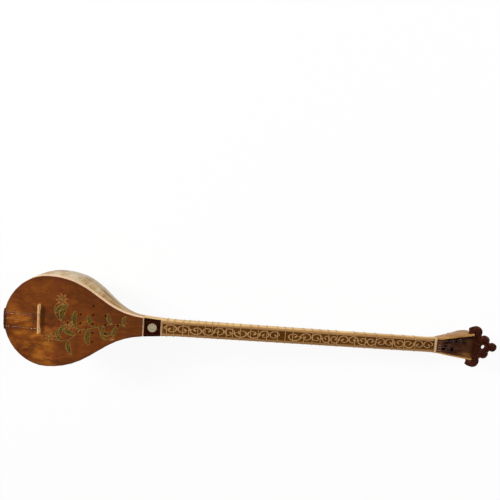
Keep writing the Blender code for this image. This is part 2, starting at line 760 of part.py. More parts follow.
def make_nut():
    half_width = neck_size(NUT_X)[0]
    low = (NUT_X, -half_width, -NUT_SEAT_DEPTH)
    nut = box("nut", low, (NUT_X + NUT_THICKNESS, half_width, NUT_HEIGHT))
    place(nut, BONE, INSTRUMENT)


def make_bridge():
    """Loose bridge: two feet joined over an arch, with its origin on the soundboard."""
    rings = []
    for length, thickness, z in ((BRIDGE_LENGTH, BRIDGE_FOOT_THICKNESS, FIT_GAP),
                                 (BRIDGE_TOP_LENGTH, BRIDGE_TOP_THICKNESS, BRIDGE_HEIGHT)):
        x, y = thickness / 2, length / 2
        rings.append([(x, y, z), (-x, y, z), (-x, -y, z), (x, -y, z)])
    bridge = place(lofted("bridge", rings), RIM_WOOD, INSTRUMENT, (BRIDGE_X, BRIDGE_OFFSET_Y, 0.0))
    arch = cylinder("bridge_arch", 1.0, -BRIDGE_FOOT_THICKNESS, BRIDGE_FOOT_THICKNESS, BRIDGE_ARCH_SIDES)
    arch.data.transform(Matrix.Rotation(math.radians(90), 4, "Y"))
    arch.data.transform(Matrix.Diagonal((1.0, BRIDGE_ARCH_HALF_LENGTH, BRIDGE_ARCH_HEIGHT, 1.0)))
    arch.location = Vector((BRIDGE_X, BRIDGE_OFFSET_Y, FIT_GAP)) * MM
    combine(bridge, arch, "DIFFERENCE")


TAILPIECE_X = TAIL_X - FIT_GAP
TAILPIECE_BACK_X = TAILPIECE_X - TAILPIECE_PROFILE[-1][0]
PIN_Z = -PIN_DROP
NOTCH_Z = TAILPIECE_RISE


def make_tailpiece():
    """Plate over the tail of the bowl, rounded outside, with a notch and a hook pin for each string."""
    depth = bowl_depth(TAIL_X)
    rings = []
    for out, share in reversed(TAILPIECE_PROFILE):
        half_width, ring_depth = TAIL_HALF_WIDTH * share, depth * (1 + share) / 2
        section = [superellipse(half_width, ring_depth, BOWL_ROUNDNESS, a) for a in neck_angles()]
        ring = [(half_width, TAILPIECE_RISE)] + section + [(-half_width, TAILPIECE_RISE)]
        rings.append([(TAILPIECE_X - out, *point) for point in ring])
    plate = place(lofted("tailpiece", rings), DARK_WOOD, INSTRUMENT)
    lay_along_x = Matrix.Rotation(math.radians(90), 4, "Y")
    for number, y in enumerate(STRING_Y_AT_TAIL, start=1):
        notch = cylinder("notch_%d" % number, TAILPIECE_NOTCH_RADIUS,
                         -CUTTER_OVERSHOOT, CUTTER_OVERSHOOT, TAILPIECE_NOTCH_SIDES)
        notch.data.transform(lay_along_x)
        notch.location = Vector((TAILPIECE_X, y, NOTCH_Z)) * MM
        combine(plate, notch, "DIFFERENCE")
        pin = cylinder("pin_%d" % number, PIN_RADIUS, -PIN_LENGTH, PIN_ROOT, PIN_SIDES)
        pin.data.transform(lay_along_x)
        pin.location = Vector((TAILPIECE_BACK_X, y, PIN_Z)) * MM
        combine(plate, pin, "UNION")


def pegbox_section(x):
    half_width, depth = between(PEGBOX_OUTER_HALF_WIDTHS, x), between(PEGBOX_DEPTHS, x)
    squareness = min(1.0, x / PEGBOX_SQUARE_FROM_X)
    roundness = NECK_END_ROUNDNESS + (PEGBOX_ROUNDNESS - NECK_END_ROUNDNESS) * squareness
    return [(x, *superellipse(half_width, depth, roundness, a)) for a in neck_angles()]


def cavity_half_width(x):
    return between(PEGBOX_OUTER_HALF_WIDTHS, x) - PEGBOX_WALL


def cavity_ring(x, floor):
    half_width, corner = cavity_half_width(max(x, PEGBOX_SQUARE_FROM_X)), CAVITY_CORNER
    cut = CAVITY_CORNER_CUT
    side = [(half_width, CAVITY_TOP), (half_width, -floor + corner),
            (half_width - cut, -floor + cut), (half_width - corner, -floor)]
    return [(x, y, z) for y, z in side] + [(x, -y, z) for y, z in reversed(side)]


def make_pegbox():
    """Box open at the top, with a low platform behind the nut and a ledge that carries the crest."""
    stations = [x for x, _ in PEGBOX_OUTER_HALF_WIDTHS]
    pegbox = place(lofted("pegbox", [pegbox_section(x) for x in stations]), NECK_WOOD, HEAD)
    platform_ends = (-CUTTER_OVERSHOOT, PLATFORM_LENGTH + PLATFORM_OVERLAP)
    platform = lofted("platform_cut", [cavity_ring(x, PLATFORM_DROP) for x in platform_ends])
    cavity = lofted("cavity_cut", [cavity_ring(x, floor) for x, floor in CAVITY_FLOORS])
    wide = CURL_CENTRE[1] + CURL_RADIUS
    ledge_floor = CREST_RISE - CREST_THICKNESS - FIT_GAP
    ledge = box("ledge_cut", (LEDGE_X, -wide, ledge_floor), (TIP_LOBE_X, wide, CAVITY_TOP))
    for cutter in (platform, cavity, ledge):
        combine(pegbox, cutter, "DIFFERENCE")
    for number, (x, y) in enumerate(zip(PEG_X, PEG_Y), start=1):
        bore = cylinder("peg_bore_%d" % number, PEG_SHAFT_RADIUS + PEG_GAP,
                        PEG_BORE_END, CUTTER_OVERSHOOT, PEG_SIDES * 2, (x, y))
        combine(pegbox, bore, "DIFFERENCE")


def pegbox_back_near(x, y):
    """Greatest depth of the pegbox's back under the collar of a peg."""
    reach = PEG_COLLAR_RADIUS
    depth = 0.0
    for near_x in (x - reach, x, x + reach):
        half_width, full = between(PEGBOX_OUTER_HALF_WIDTHS, near_x), between(PEGBOX_DEPTHS, near_x)
        inward = max(0.0, abs(y) - reach) / half_width
        depth = max(depth, full * (1 - inward ** PEGBOX_ROUNDNESS) ** (1 / PEGBOX_ROUNDNESS))
    return depth


def make_peg(number, x, y):
    """Turned friction peg with a flat oval head, its tip up in the box and its head at the back."""
    back = -pegbox_back_near(x, y) - FIT_GAP
    collar_end = back - PEG_COLLAR_THICKNESS
    stalk_end = collar_end - PEG_STALK_LENGTH
    head_middle = stalk_end - PEG_HEAD_HALF_LENGTH + PEG_STALK_INTO_HEAD
    shoulder_z = -winding_bottom(number - 1) - PEG_STEP_BELOW_WINDING
    profile = (
        (0.0, -PEG_TIP_DROP), (PEG_SPINDLE_RADIUS - PEG_EDGE, -PEG_TIP_DROP),
        (PEG_SPINDLE_RADIUS, -PEG_TIP_DROP - PEG_EDGE), (PEG_SPINDLE_RADIUS, shoulder_z),
        (PEG_SHAFT_RADIUS, shoulder_z - PEG_EDGE), (PEG_SHAFT_RADIUS, back),
        (PEG_COLLAR_RADIUS, back), (PEG_COLLAR_RADIUS, collar_end),
        (PEG_STALK_RADIUS, collar_end - PEG_EDGE), (PEG_STALK_RADIUS, head_middle), (0.0, head_middle),
    )
    mesh = bpy.data.meshes.new("peg_%d" % number)
    edges = [(i, i + 1) for i in range(len(profile) - 1)]
    mesh.from_pydata([(r * MM, 0.0, z * MM) for r, z in profile], edges, [])
    peg = bpy.data.objects.new("peg_%d" % number, mesh)
    PARTS.objects.link(peg)
    place(peg, DARK_WOOD, HEAD, (x, y, 0.0))
    turning = peg.modifiers.new("turned", "SCREW")
    turning.steps = PEG_SIDES
    turning.render_steps = PEG_SIDES
    turning.use_merge_vertices = True
    turning.merge_threshold = 0.00001
    shape = bmesh.new()
    bmesh.ops.create_uvsphere(shape, u_segments=PEG_HEAD_SEGMENTS, v_segments=PEG_HEAD_RINGS, radius=MM)
    thumb = object_from_bmesh("peg_head_%d" % number, shape)
    head_size = (PEG_HEAD_HALF_WIDTH, PEG_HEAD_HALF_THICKNESS, PEG_HEAD_HALF_LENGTH, 1.0)
    thumb.data.transform(Matrix.Diagonal(head_size))
    thumb.location = Vector((x, y, head_middle)) * MM
    combine(peg, thumb, "UNION")


def winding_radius(index):
    return PEG_SPINDLE_RADIUS + FIT_GAP + STRING_RADII[index]


def winding_pitch(index):
    return 2 * STRING_RADII[index] + WINDING_CLEAR_SPACE


def winding_bottom(index):
    return PEG_TOP_TURN_DROP[index] + WINDING_TURNS * winding_pitch(index)


def tangent_angle(index):
    """Angle, round the peg's axis in the head's axes, at which the string meets its winding."""
    start = HEAD.matrix_basis.inverted() @ (Vector(nut_point(index)) * MM) / MM
    away = Vector((PEG_X[index] - start.x, PEG_Y[index] - start.y))
    bearing = math.atan2(away.y, away.x)
    lean = math.asin(winding_radius(index) / away.length)
    return bearing + PEG_OUTWARD_SIDE[index] * (math.pi / 2 + lean)


def helix_turns(index):
    """Turns round the spindle of the peg, from where the string comes in, in the head's axes."""
    start, turn_way = tangent_angle(index), -PEG_OUTWARD_SIDE[index]
    radius, pitch = winding_radius(index), winding_pitch(index)
    helix = []
    for step in range(WINDING_TURNS * WINDING_POINTS_PER_TURN + 1):
        turns = step / WINDING_POINTS_PER_TURN
        angle = start + turn_way * 2 * math.pi * turns
        helix.append(Vector((
            PEG_X[index] + radius * math.cos(angle),
            PEG_Y[index] + radius * math.sin(angle),
            -PEG_TOP_TURN_DROP[index] - pitch * turns)))
    return helix


def least_gap_to_itself(path, radius, skip):
    """Least clear space between points of one tube that lie more than skip points apart."""
    least = math.inf
    for i, p in enumerate(path):
        for q in path[i + skip:]:
            least = min(least, (p - q).length)
    return least - 2 * radius


def nut_point(index):
    return (NUT_X + NUT_THICKNESS / 2, STRING_Y_AT_NUT[index], NUT_HEIGHT + FIT_GAP + STRING_RADII[index])


def string_path(index):
    """One wire: looped on its pin, over the tailpiece, the bridge and the nut, and round its peg."""
    radius, y, bridge_y = STRING_RADII[index], STRING_Y_AT_TAIL[index], STRING_Y_AT_BRIDGE[index]
    pin_x = TAILPIECE_BACK_X - PIN_LENGTH / 2
    loop_radius = PIN_RADIUS + FIT_GAP + radius
    turn = circle((0, 0), loop_radius, LOOP_POINTS, LOOP_START_DEGREES, LOOP_END_DEGREES)
    loop = [(pin_x, y + side, PIN_Z + up) for side, up in turn]
    notch_floor = NOTCH_Z - TAILPIECE_NOTCH_RADIUS + FIT_GAP + radius
    back_x = TAILPIECE_BACK_X - FIT_GAP - radius
    over_tail = [(back_x, y, notch_floor - TAIL_BEND_DROP), (back_x + TAIL_BEND_RUN, y, notch_floor),
                 (TAILPIECE_X, y, notch_floor + TAIL_NOTCH_LIFT)]
    bridge_top = BRIDGE_HEIGHT + FIT_GAP + radius
    over_bridge = [(BRIDGE_X + side * BRIDGE_TOP_THICKNESS / 2, bridge_y, bridge_top) for side in (-1, 1)]
    nut = nut_point(index)
    over_nut = [(NUT_X, nut[1], nut[2]), (NUT_X + NUT_THICKNESS, nut[1], nut[2])]
    helix = helix_turns(index)
    gap = least_gap_to_itself(helix, radius, WINDING_POINTS_PER_TURN // 2)
    print("winding %d: %d turns, least gap to itself %.2f mm" % (index + 1, WINDING_TURNS, gap))
    turns = [HEAD.matrix_basis @ (point * MM) / MM for point in helix]
    return loop + over_tail + over_bridge + over_nut + turns


def make_string(index):
    string = wire("string_%d" % (index + 1), string_path(index), STRING_RADII[index], 1)
    place(string, BRASS if index in BRASS_STRINGS else STEEL, INSTRUMENT)


def crest_outline():
    """Half of the crest, from the mouth of the pegbox round its lobes to the tip, then the other half."""
    half = circle((MOUTH_ARC_CENTRE_X, 0.0), MOUTH_ARC_RADIUS, ARC_STEPS, *MOUTH_ARC_DEGREES)
    seat_x, curl_y = LEDGE_X + FIT_GAP, between(PEGBOX_OUTER_HALF_WIDTHS, CURL_ROOT_X) + FIT_GAP
    half += [(seat_x, MOUTH_CORNER_Y), (seat_x, between(PEGBOX_OUTER_HALF_WIDTHS, LEDGE_X) + FIT_GAP)]
    half += [(CURL_ROOT_X, curl_y)]
    half += [(CURL_ROOT_X + dx, curl_y + dy) for dx, dy in CURL_TIP]
    half += circle(CURL_CENTRE, CURL_RADIUS, ARC_STEPS, *CURL_DEGREES)
    half += circle(MIDDLE_LOBE_CENTRE, MIDDLE_LOBE_RADIUS, ARC_STEPS, *MIDDLE_LOBE_DEGREES)
    half += circle((TIP_LOBE_X, 0.0), TIP_LOBE_RADIUS, ARC_STEPS, *TIP_LOBE_DEGREES)
    return both_sides(half)


def make_crest():
    """Carved finial: a lobed plate with softened edges and a dished hole to hang it by."""
    hole = circle((HANG_HOLE_X, 0.0), HANG_HOLE_RADIUS, HANG_HOLE_SIDES)
    crest = flat_plate("crest", [crest_outline(), hole], 0.0, CREST_THICKNESS)
    place(crest, CREST_WOOD, HEAD, (0.0, 0.0, CREST_RISE - CREST_THICKNESS / 2))
    crest = meshed(crest)
    dish = cylinder("hole_dish", DISH_BOTTOM_RADIUS, CREST_RISE - DISH_DEPTH, CREST_RISE + DISH_OVERSHOOT,
                    HANG_HOLE_SIDES, (HANG_HOLE_X, 0.0), DISH_TOP_RADIUS)
    combine(crest, dish, "DIFFERENCE")
    soften = crest.modifiers.new("edges", "BEVEL")
    soften.width = CREST_EDGE_RADIUS * MM
    soften.segments = 1
    soften.limit_method = "ANGLE"
    soften.angle_limit = math.radians(CREST_SHARP_DEGREES)


def world_corners(names):
    """Corners of the evaluated pieces in world axes, in millimetres."""
    graph = bpy.context.evaluated_depsgraph_get()
    corners = []
    for made in PARTS.objects:
        if made.type == "EMPTY" or not made.name.startswith(names):
            continue
        evaluated = made.evaluated_get(graph)
        mesh = evaluated.to_mesh()
        corners += [made.matrix_world @ v.co / MM for v in mesh.vertices]
        evaluated.to_mesh_clear()
    return corners


def lay_on_its_back():
    """Leans the instrument until bowl and pegs both touch the table, then centres it there."""
    bowl = world_corners(("bowl_",))
    pegs = world_corners(("peg_",))
    low, high = 0.0, math.radians(MOST_LEAN_DEGREES)
    for _ in range(BISECTIONS):
        angle = (low + high) / 2
        lean = Matrix.Rotation(angle, 4, "Y")
        gap = min((lean @ p).z for p in pegs) - min((lean @ p).z for p in bowl)
        if gap > 0:
            low = angle
        else:
            high = angle
    INSTRUMENT.rotation_euler = (0.0, angle, 0.0)
    bpy.context.view_layer.update()
    corners = world_corners(("",))
    middle_x = (min(p.x for p in corners) + max(p.x for p in corners)) / 2
    middle_y = (min(p.y for p in corners) + max(p.y for p in corners)) / 2
    INSTRUMENT.location = Vector((-middle_x, -middle_y, -min(p.z for p in corners))) * MM
    bpy.context.view_layer.update()
    print("lean %.3f degrees, instrument axes at %s mm" % (
        math.degrees(angle), [round(v / MM, 3) for v in INSTRUMENT.location]))


HEAD.location = Vector((HEAD_X, 0.0, 0.0)) * MM
HEAD.rotation_euler = (0.0, math.radians(HEAD_LEAN_DEGREES), 0.0)
bpy.context.view_layer.update()

make_bowl()
make_rim_band()
make_tail_block()
make_neck_block()
make_soundboard()
make_neck()
make_fingerboard()
make_joint_plate()
for fret_number, fret_cents in enumerate(FRET_CENTS, start=1):
    make_fret(fret_number, fret_x(fret_cents))
make_nut()
make_bridge()
make_tailpiece()
make_pegbox()
for peg_number, (peg_x, peg_y) in enumerate(zip(PEG_X, PEG_Y), start=1):
    make_peg(peg_number, peg_x, peg_y)
for string_index in range(len(STRING_RADII)):
    make_string(string_index)
make_crest()
bpy.context.view_layer.update()
lay_on_its_back()
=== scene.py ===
# %% [markdown]
# ## A setar, dressed
# The imported model is a fixed frame: every solid piece of the instrument at its real size and place.
# This lesson gives each piece its finish and adds what is too fine for the solids. The frame is
# loaded first, and its box is kept.

# %% Load the frame
import json
import math
import random

import bmesh
import bpy
from mathutils import Matrix, Vector
from mathutils.kdtree import KDTree


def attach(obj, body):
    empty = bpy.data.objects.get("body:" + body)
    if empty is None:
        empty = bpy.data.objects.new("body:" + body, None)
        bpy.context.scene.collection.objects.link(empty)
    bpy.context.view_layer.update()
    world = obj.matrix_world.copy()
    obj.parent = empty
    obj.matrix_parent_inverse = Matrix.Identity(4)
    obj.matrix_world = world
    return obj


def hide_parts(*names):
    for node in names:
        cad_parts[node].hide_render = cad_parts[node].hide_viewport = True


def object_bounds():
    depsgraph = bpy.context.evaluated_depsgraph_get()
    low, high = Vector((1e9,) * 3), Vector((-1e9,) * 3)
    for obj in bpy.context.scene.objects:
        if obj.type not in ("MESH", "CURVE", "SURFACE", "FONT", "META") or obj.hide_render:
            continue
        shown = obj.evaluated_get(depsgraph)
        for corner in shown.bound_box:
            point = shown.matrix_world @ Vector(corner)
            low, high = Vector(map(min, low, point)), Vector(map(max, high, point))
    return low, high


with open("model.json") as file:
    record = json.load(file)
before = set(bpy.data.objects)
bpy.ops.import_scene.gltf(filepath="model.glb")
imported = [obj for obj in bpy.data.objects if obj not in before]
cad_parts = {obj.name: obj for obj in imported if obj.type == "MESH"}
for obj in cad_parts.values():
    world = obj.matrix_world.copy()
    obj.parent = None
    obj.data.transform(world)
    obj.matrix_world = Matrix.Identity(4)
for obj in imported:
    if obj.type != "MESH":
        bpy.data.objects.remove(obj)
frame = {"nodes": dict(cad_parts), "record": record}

frame_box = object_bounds()
MM = 0.001
print("frame box, mm:", [[round(v / MM, 1) for v in corner] for corner in frame_box])

# %% [markdown]
# The instrument lies on its back, so its own axes are turned against the world's. They start on
# the soundboard under the strings at the bridge: X runs to the head, Y across the strings and Z
# out of the soundboard. The mount on the soundboard gives the lean and the start.

# %% Find the instrument's own axes
FACE_MOUNT_PLACE = Vector((40.0, -30.0, 0.0))
HEAD_X = 653.8
HEAD_LEAN = math.radians(3.5)

face_mount = next(m for m in frame["record"]["mounts"] if m["name"] == "pickup_face")
face_normal = Vector(face_mount["axis"])
lean = math.atan2(face_normal.x, face_normal.z)
turned = Matrix.Rotation(lean, 4, "Y")
origin = Vector(face_mount["pos_m"]) - turned @ (FACE_MOUNT_PLACE * MM)
INSTRUMENT = Matrix.Translation(origin) @ turned @ Matrix.Scale(MM, 4)
HEAD = INSTRUMENT @ Matrix.Translation((HEAD_X, 0, 0)) @ Matrix.Rotation(HEAD_LEAN, 4, "Y")
print("lean %.3f degrees" % math.degrees(lean))

# %% [markdown]
# Several pieces and finishes follow the outline of the instrument, so it is written down once.
# The bowl is nearly half an ellipse at the tail and a Bezier curve at the shoulder, both in plan
# and in side view. The neck narrows fast beside the bowl and then keeps nearly the same width.

# %% Outline of the bowl and the neck
BOWL_HALF_WIDTH, BOWL_DEPTH = 75.8, 133.0
WIDEST_X, TAIL_X, JOINT_X = 13.0, -53.3, 166.0
TAIL_HALF_WIDTH, TAIL_ROUNDNESS = 17.0, 1.92
JOINT_HALF_WIDTH, JOINT_DEPTH = 15.8, 29.5
WIDTH_SHOULDER = (JOINT_HALF_WIDTH, 74.0, 70.0, 0.09)
DEPTH_SHOULDER = (JOINT_DEPTH, 72.0, 45.0, 0.10)
BOWL_ROUNDNESS, NECK_START_ROUNDNESS, NECK_END_ROUNDNESS = 2.6, 3.2, 2.5
NECK_X, NUT_X = 228.0, 650.0
NECK_HALF_WIDTHS, NECK_DEPTHS = (12.2, 12.0), (27.0, 19.5)
NECK_FLARES, NECK_FLARE_LENGTH, NECK_BLEND_POWER = (0.6, 2.5), 20.0, 1.6


def tail_share_at(share_of_length):
    return max(0.0, 1 - share_of_length ** TAIL_ROUNDNESS) ** (1 / TAIL_ROUNDNESS)


TAIL_LENGTH = (WIDEST_X - TAIL_X) / tail_share_at(TAIL_HALF_WIDTH / BOWL_HALF_WIDTH)


def shoulder(x, full, at_joint, wide_handle, neck_handle, slope):
    knots = ((WIDEST_X, full), (WIDEST_X + wide_handle, full),
             (JOINT_X - neck_handle, at_joint + slope * neck_handle), (JOINT_X, at_joint))
    low, high = 0.0, 1.0
    for _ in range(40):
        t = (low + high) / 2
        weights = ((1 - t) ** 3, 3 * t * (1 - t) ** 2, 3 * t * t * (1 - t), t ** 3)
        if sum(w * k[0] for w, k in zip(weights, knots)) < x:
            low = t
        else:
            high = t
    return sum(w * k[1] for w, k in zip(weights, knots))


def bowl_size(x, full, at_shoulder):
    if x <= WIDEST_X:
        return full * tail_share_at((WIDEST_X - x) / TAIL_LENGTH)
    return shoulder(x, full, *at_shoulder)


def neck_size(x):
    if x < NECK_X:
        share = ((NECK_X - x) / (NECK_X - JOINT_X)) ** NECK_BLEND_POWER
        return (NECK_HALF_WIDTHS[0] + (JOINT_HALF_WIDTH - NECK_HALF_WIDTHS[0]) * share,
                NECK_DEPTHS[0] + (JOINT_DEPTH - NECK_DEPTHS[0]) * share)
    along = (x - NECK_X) / (NUT_X - NECK_X)
    flare = max(0.0, (x - (HEAD_X - NECK_FLARE_LENGTH)) / NECK_FLARE_LENGTH) ** 2
    return tuple(start + (end - start) * along + extra * flare
                 for (start, end), extra in zip((NECK_HALF_WIDTHS, NECK_DEPTHS), NECK_FLARES))


print("board %.1f mm wide" % (2 * BOWL_HALF_WIDTH))

# %% [markdown]
# The photograph was taken from close by, a little above and to the left of the neck's middle, so
# the camera stands there and looks straight down on the face. Its lens is shifted a little,
# because the picture is a crop.

# %% Camera
CAMERA_PLACE = Vector((310.6, 268.2, 775.3))
CAMERA_TURN = Vector((-0.1241, -0.0369, 0.0739))
CAMERA_LENS = 35.21
CAMERA_SHIFT = (-0.0175, -0.0400)

camera_data = bpy.data.cameras.new("camera")
camera_data.lens = CAMERA_LENS
camera_data.sensor_width = 36.0
camera_data.shift_x, camera_data.shift_y = CAMERA_SHIFT
camera = bpy.data.objects.new("camera", camera_data)
bpy.context.scene.collection.objects.link(camera)
aim = Matrix.Rotation(CAMERA_TURN.length, 4, CAMERA_TURN.normalized())
camera.matrix_world = (INSTRUMENT @ Matrix.Translation(CAMERA_PLACE) @ aim).normalized()
bpy.context.scene.camera = camera
print("camera at", [round(v, 3) for v in camera.location])

# %% [markdown]
# ## Building materials
# Most finishes here are woods under lacquer. A few small helpers keep each node tree readable:
# one adds a node with its inputs, one does arithmetic, one mixes colours.

# %% Node helpers
def add(tree, kind, outputs=0, settings=None, **inputs):
    """Adds a shader node, sets or links its inputs by name, and returns one of its outputs."""
    made = tree.nodes.new("ShaderNode" + kind)
    for name, value in (settings or {}).items():
        setattr(made, name, value)
    for name, value in inputs.items():
        connect(tree, value, made.inputs[name.replace("_", " ")])
    return made.outputs[outputs]


def connect(tree, value, socket):
    if isinstance(value, bpy.types.NodeSocket):
        tree.links.new(value, socket)
    else:
        socket.default_value = value


def sums(tree, operation, *values):
    made = tree.nodes.new("ShaderNodeMath")
    made.operation = operation
    for value, socket in zip(values, made.inputs):
        connect(tree, value, socket)
    return made.outputs[0]


def mixed(tree, share, first, second, blend="MIX"):
    made = tree.nodes.new("ShaderNodeMix")
    made.data_type = "RGBA"
    made.blend_type = blend
    connect(tree, share, made.inputs[0])
    connect(tree, first, made.inputs[6])
    connect(tree, second, made.inputs[7])
    return made.outputs[2]


def ramp(tree, value, *stops):
    """Colour ramp through (position, colour) stops."""
    made = tree.nodes.new("ShaderNodeValToRGB")
    connect(tree, value, made.inputs[0])
    elements = made.color_ramp.elements
    while len(elements) < len(stops):
        elements.new(0.5)
    for element, (position, colour) in zip(elements, stops):
        element.position = position
        element.color = (*colour, 1.0)
    return made.outputs[0]


def rescaled(tree, value, low, high, new_low=0.0, new_high=1.0):
    return add(tree, "MapRange", Value=value, From_Min=low, From_Max=high, To_Min=new_low, To_Max=new_high)


def start_material(name):
    """A material with its node tree and its Principled shader."""
    material = bpy.data.materials.new(name)
    material.use_nodes = True
    shader = material.node_tree.nodes["Principled BSDF"]
    shader.inputs["Specular IOR Level"].default_value = 0.3
    return material, material.node_tree, shader


def in_instrument(tree, stretch=(1.0, 1.0, 1.0), origin=INSTRUMENT.translation, turn=lean):
    """Coordinates in millimetres along the instrument's own axes or the head's, stretched along each."""
    made = tree.nodes.new("ShaderNodeMapping")
    made.vector_type = "TEXTURE"
    tree.links.new(add(tree, "TexCoord", outputs=3), made.inputs["Vector"])
    made.inputs["Location"].default_value = origin
    made.inputs["Rotation"].default_value = (0.0, turn, 0.0)
    made.inputs["Scale"].default_value = [MM * share for share in stretch]
    return made.outputs[0]


def bumped(tree, shader, height, strength, distance):
    normal = add(tree, "Bump", Height=height, Strength=strength, Distance=distance)
    tree.links.new(normal, shader.inputs["Normal"])


# %% [markdown]
# Every wooden piece has pores and fine lines along its grain, and its lacquer has a faint
# unevenness from handling. Both are node groups, so each wood only sets its own numbers.

# %% Shared effects: grain and handling
def start_group(name, inputs, outputs):
    group = bpy.data.node_groups.new(name, "ShaderNodeTree")
    for label, kind, value in inputs:
        socket = group.interface.new_socket(label, in_out="INPUT", socket_type="NodeSocket" + kind)
        if value is not None:
            socket.default_value = value
    for label, kind in outputs:
        group.interface.new_socket(label, in_out="OUTPUT", socket_type="NodeSocket" + kind)
    return group, group.nodes.new("NodeGroupInput"), group.nodes.new("NodeGroupOutput")


def use_group(tree, group, **inputs):
    made = tree.nodes.new("ShaderNodeGroup")
    made.node_tree = group
    for name, value in inputs.items():
        connect(tree, value, made.inputs[name])
    return made.outputs


def make_grain_group():
    group, entry, leave = start_group(
        "wood_grain",
        (("Place", "Vector", None), ("Line Spacing", "Float", 1.0), ("Wander", "Float", 2.0)),
        (("Lines", "Float"), ("Pores", "Float")))
    place, spacing, wander = entry.outputs[0], entry.outputs[1], entry.outputs[2]
    drift = add(group, "TexNoise", Vector=place, Scale=0.04, Detail=2.0)
    bent = add(group, "VectorMath", settings={"operation": "MULTIPLY_ADD"})
    bend = bent.node
    group.links.new(drift, bend.inputs[0])
    group.links.new(wander, bend.inputs[1])
    group.links.new(place, bend.inputs[2])
    density = sums(group, "DIVIDE", 1.0, spacing)
    lines = add(group, "TexNoise", Vector=bent, Scale=density, Detail=5.0, Roughness=0.6)
    group.links.new(rescaled(group, lines, 0.3, 0.7), leave.inputs[0])
    fine = sums(group, "MULTIPLY", density, 3.0)
    pores = add(group, "TexNoise", Vector=bent, Scale=fine, Detail=2.0)
    group.links.new(rescaled(group, pores, 0.55, 0.72), leave.inputs[1])
    return group


def make_handling_group():
    group, entry, leave = start_group(
        "handling",
        (("Place", "Vector", None), ("Least", "Float", 0.15), ("Most", "Float", 0.3)),
        (("Roughness", "Float"), ("Cloud", "Float")))
    cloud = add(group, "TexNoise", Vector=entry.outputs[0], Scale=0.05, Detail=4.0, Roughness=0.65)
    share = rescaled(group, cloud, 0.35, 0.7)
    width = sums(group, "SUBTRACT", entry.outputs[2], entry.outputs[1])
    group.links.new(sums(group, "MULTIPLY_ADD", share, width, entry.outputs[1]), leave.inputs[0])
    group.links.new(share, leave.inputs[1])
    return group


GRAIN = make_grain_group()
HANDLING = make_handling_group()
print("node groups:", GRAIN.name, HANDLING.name)

# %% [markdown]
# Plain woods of the neck, the pegs and the small fittings differ only in colour, in how far the
# grain is drawn out and in the gloss of the lacquer, so one function makes them all.

# %% Straight-grained woods
def straight_wood(name, dark, light, line_spacing=0.9, gloss=(0.25, 0.38), coat=0.1, shine=0.3, bump=0.25):
    material, tree, shader = start_material(name)
    place = in_instrument(tree, stretch=(22.0, 1.0, 1.0))
    lines, pores = use_group(tree, GRAIN, **{"Place": place, "Line Spacing": line_spacing, "Wander": 1.5})
    patch = add(tree, "TexNoise", Vector=in_instrument(tree, stretch=(3.0, 1.0, 1.0)), Scale=0.05, Detail=3.0)
    tone = sums(tree, "MULTIPLY_ADD", rescaled(tree, patch, 0.3, 0.7), 0.45, sums(tree, "MULTIPLY", lines, 0.55))
    colour = ramp(tree, tone, (0.0, dark), (1.0, light))
    colour = mixed(tree, sums(tree, "MULTIPLY", pores, 0.55), colour, (*[c * 0.45 for c in dark], 1.0))
    tree.links.new(colour, shader.inputs["Base Color"])
    rough, _ = use_group(tree, HANDLING, Place=in_instrument(tree), Least=gloss[0], Most=gloss[1])
    tree.links.new(rough, shader.inputs["Roughness"])
    shader.inputs["Specular IOR Level"].default_value = shine
    shader.inputs["Coat Weight"].default_value = coat
    shader.inputs["Coat Roughness"].default_value = 0.12
    bumped(tree, shader, sums(tree, "MULTIPLY_ADD", pores, -0.6, lines), bump, 0.00004)
    return material



def neck_wood(name):
    """The neck's wood, browner on its face beside the dark panel, with a thin line along the border; its light golden
    sides are partly painted highlight.
    """
    material, tree, shader = start_material(name)
    place = in_instrument(tree)
    parts = tree.nodes.new("ShaderNodeSeparateXYZ")
    tree.links.new(place, parts.inputs[0])
    stretched = in_instrument(tree, stretch=(22.0, 1.0, 1.0))
    lines, pores = use_group(tree, GRAIN, **{"Place": stretched, "Line Spacing": 0.9, "Wander": 1.5})
    patch = add(tree, "TexNoise", Vector=in_instrument(tree, stretch=(3.0, 1.0, 1.0)), Scale=0.05, Detail=3.0)
    tone = sums(tree, "MULTIPLY_ADD", rescaled(tree, patch, 0.3, 0.7), 0.55, sums(tree, "MULTIPLY", lines, 0.45))
    # The light end of this ramp is partly painted highlight, for the bright upper side of the neck.
    colour = ramp(tree, tone, (0.0, (0.44, 0.235, 0.062)), (1.0, (0.84, 0.56, 0.210)))
    colour = mixed(tree, sums(tree, "MULTIPLY", pores, 0.4), colour, (0.12, 0.05, 0.015, 1.0))
    near_bowl = sums(tree, "POWER", rescaled(tree, parts.outputs[0], NECK_X, JOINT_X), NECK_BLEND_POWER)
    half_width = sums(tree, "MULTIPLY_ADD", near_bowl, JOINT_HALF_WIDTH - NECK_HALF_WIDTHS[0], NECK_HALF_WIDTHS[0])
    share = sums(tree, "DIVIDE", sums(tree, "ABSOLUTE", parts.outputs[1]), half_width)
    on_face = rescaled(tree, parts.outputs[2], -0.6, -0.4)
    colour = mixed(tree, sums(tree, "MULTIPLY", on_face, 0.8), colour, (0.345, 0.165, 0.070, 1.0))
    line = sums(tree, "MULTIPLY", rescaled(tree, share, 0.72, 0.73), rescaled(tree, share, 0.77, 0.76))
    colour = mixed(tree, sums(tree, "MULTIPLY", line, sums(tree, "MULTIPLY", on_face, 0.6)), colour,
                   (0.10, 0.042, 0.016, 1.0))
    tree.links.new(colour, shader.inputs["Base Color"])
    rough, _ = use_group(tree, HANDLING, Place=place, Least=0.22, Most=0.34)
    tree.links.new(rough, shader.inputs["Roughness"])
    shader.inputs["Specular IOR Level"].default_value = 0.08
    bumped(tree, shader, sums(tree, "MULTIPLY_ADD", pores, -0.6, lines), 0.2, 0.00004)
    return material


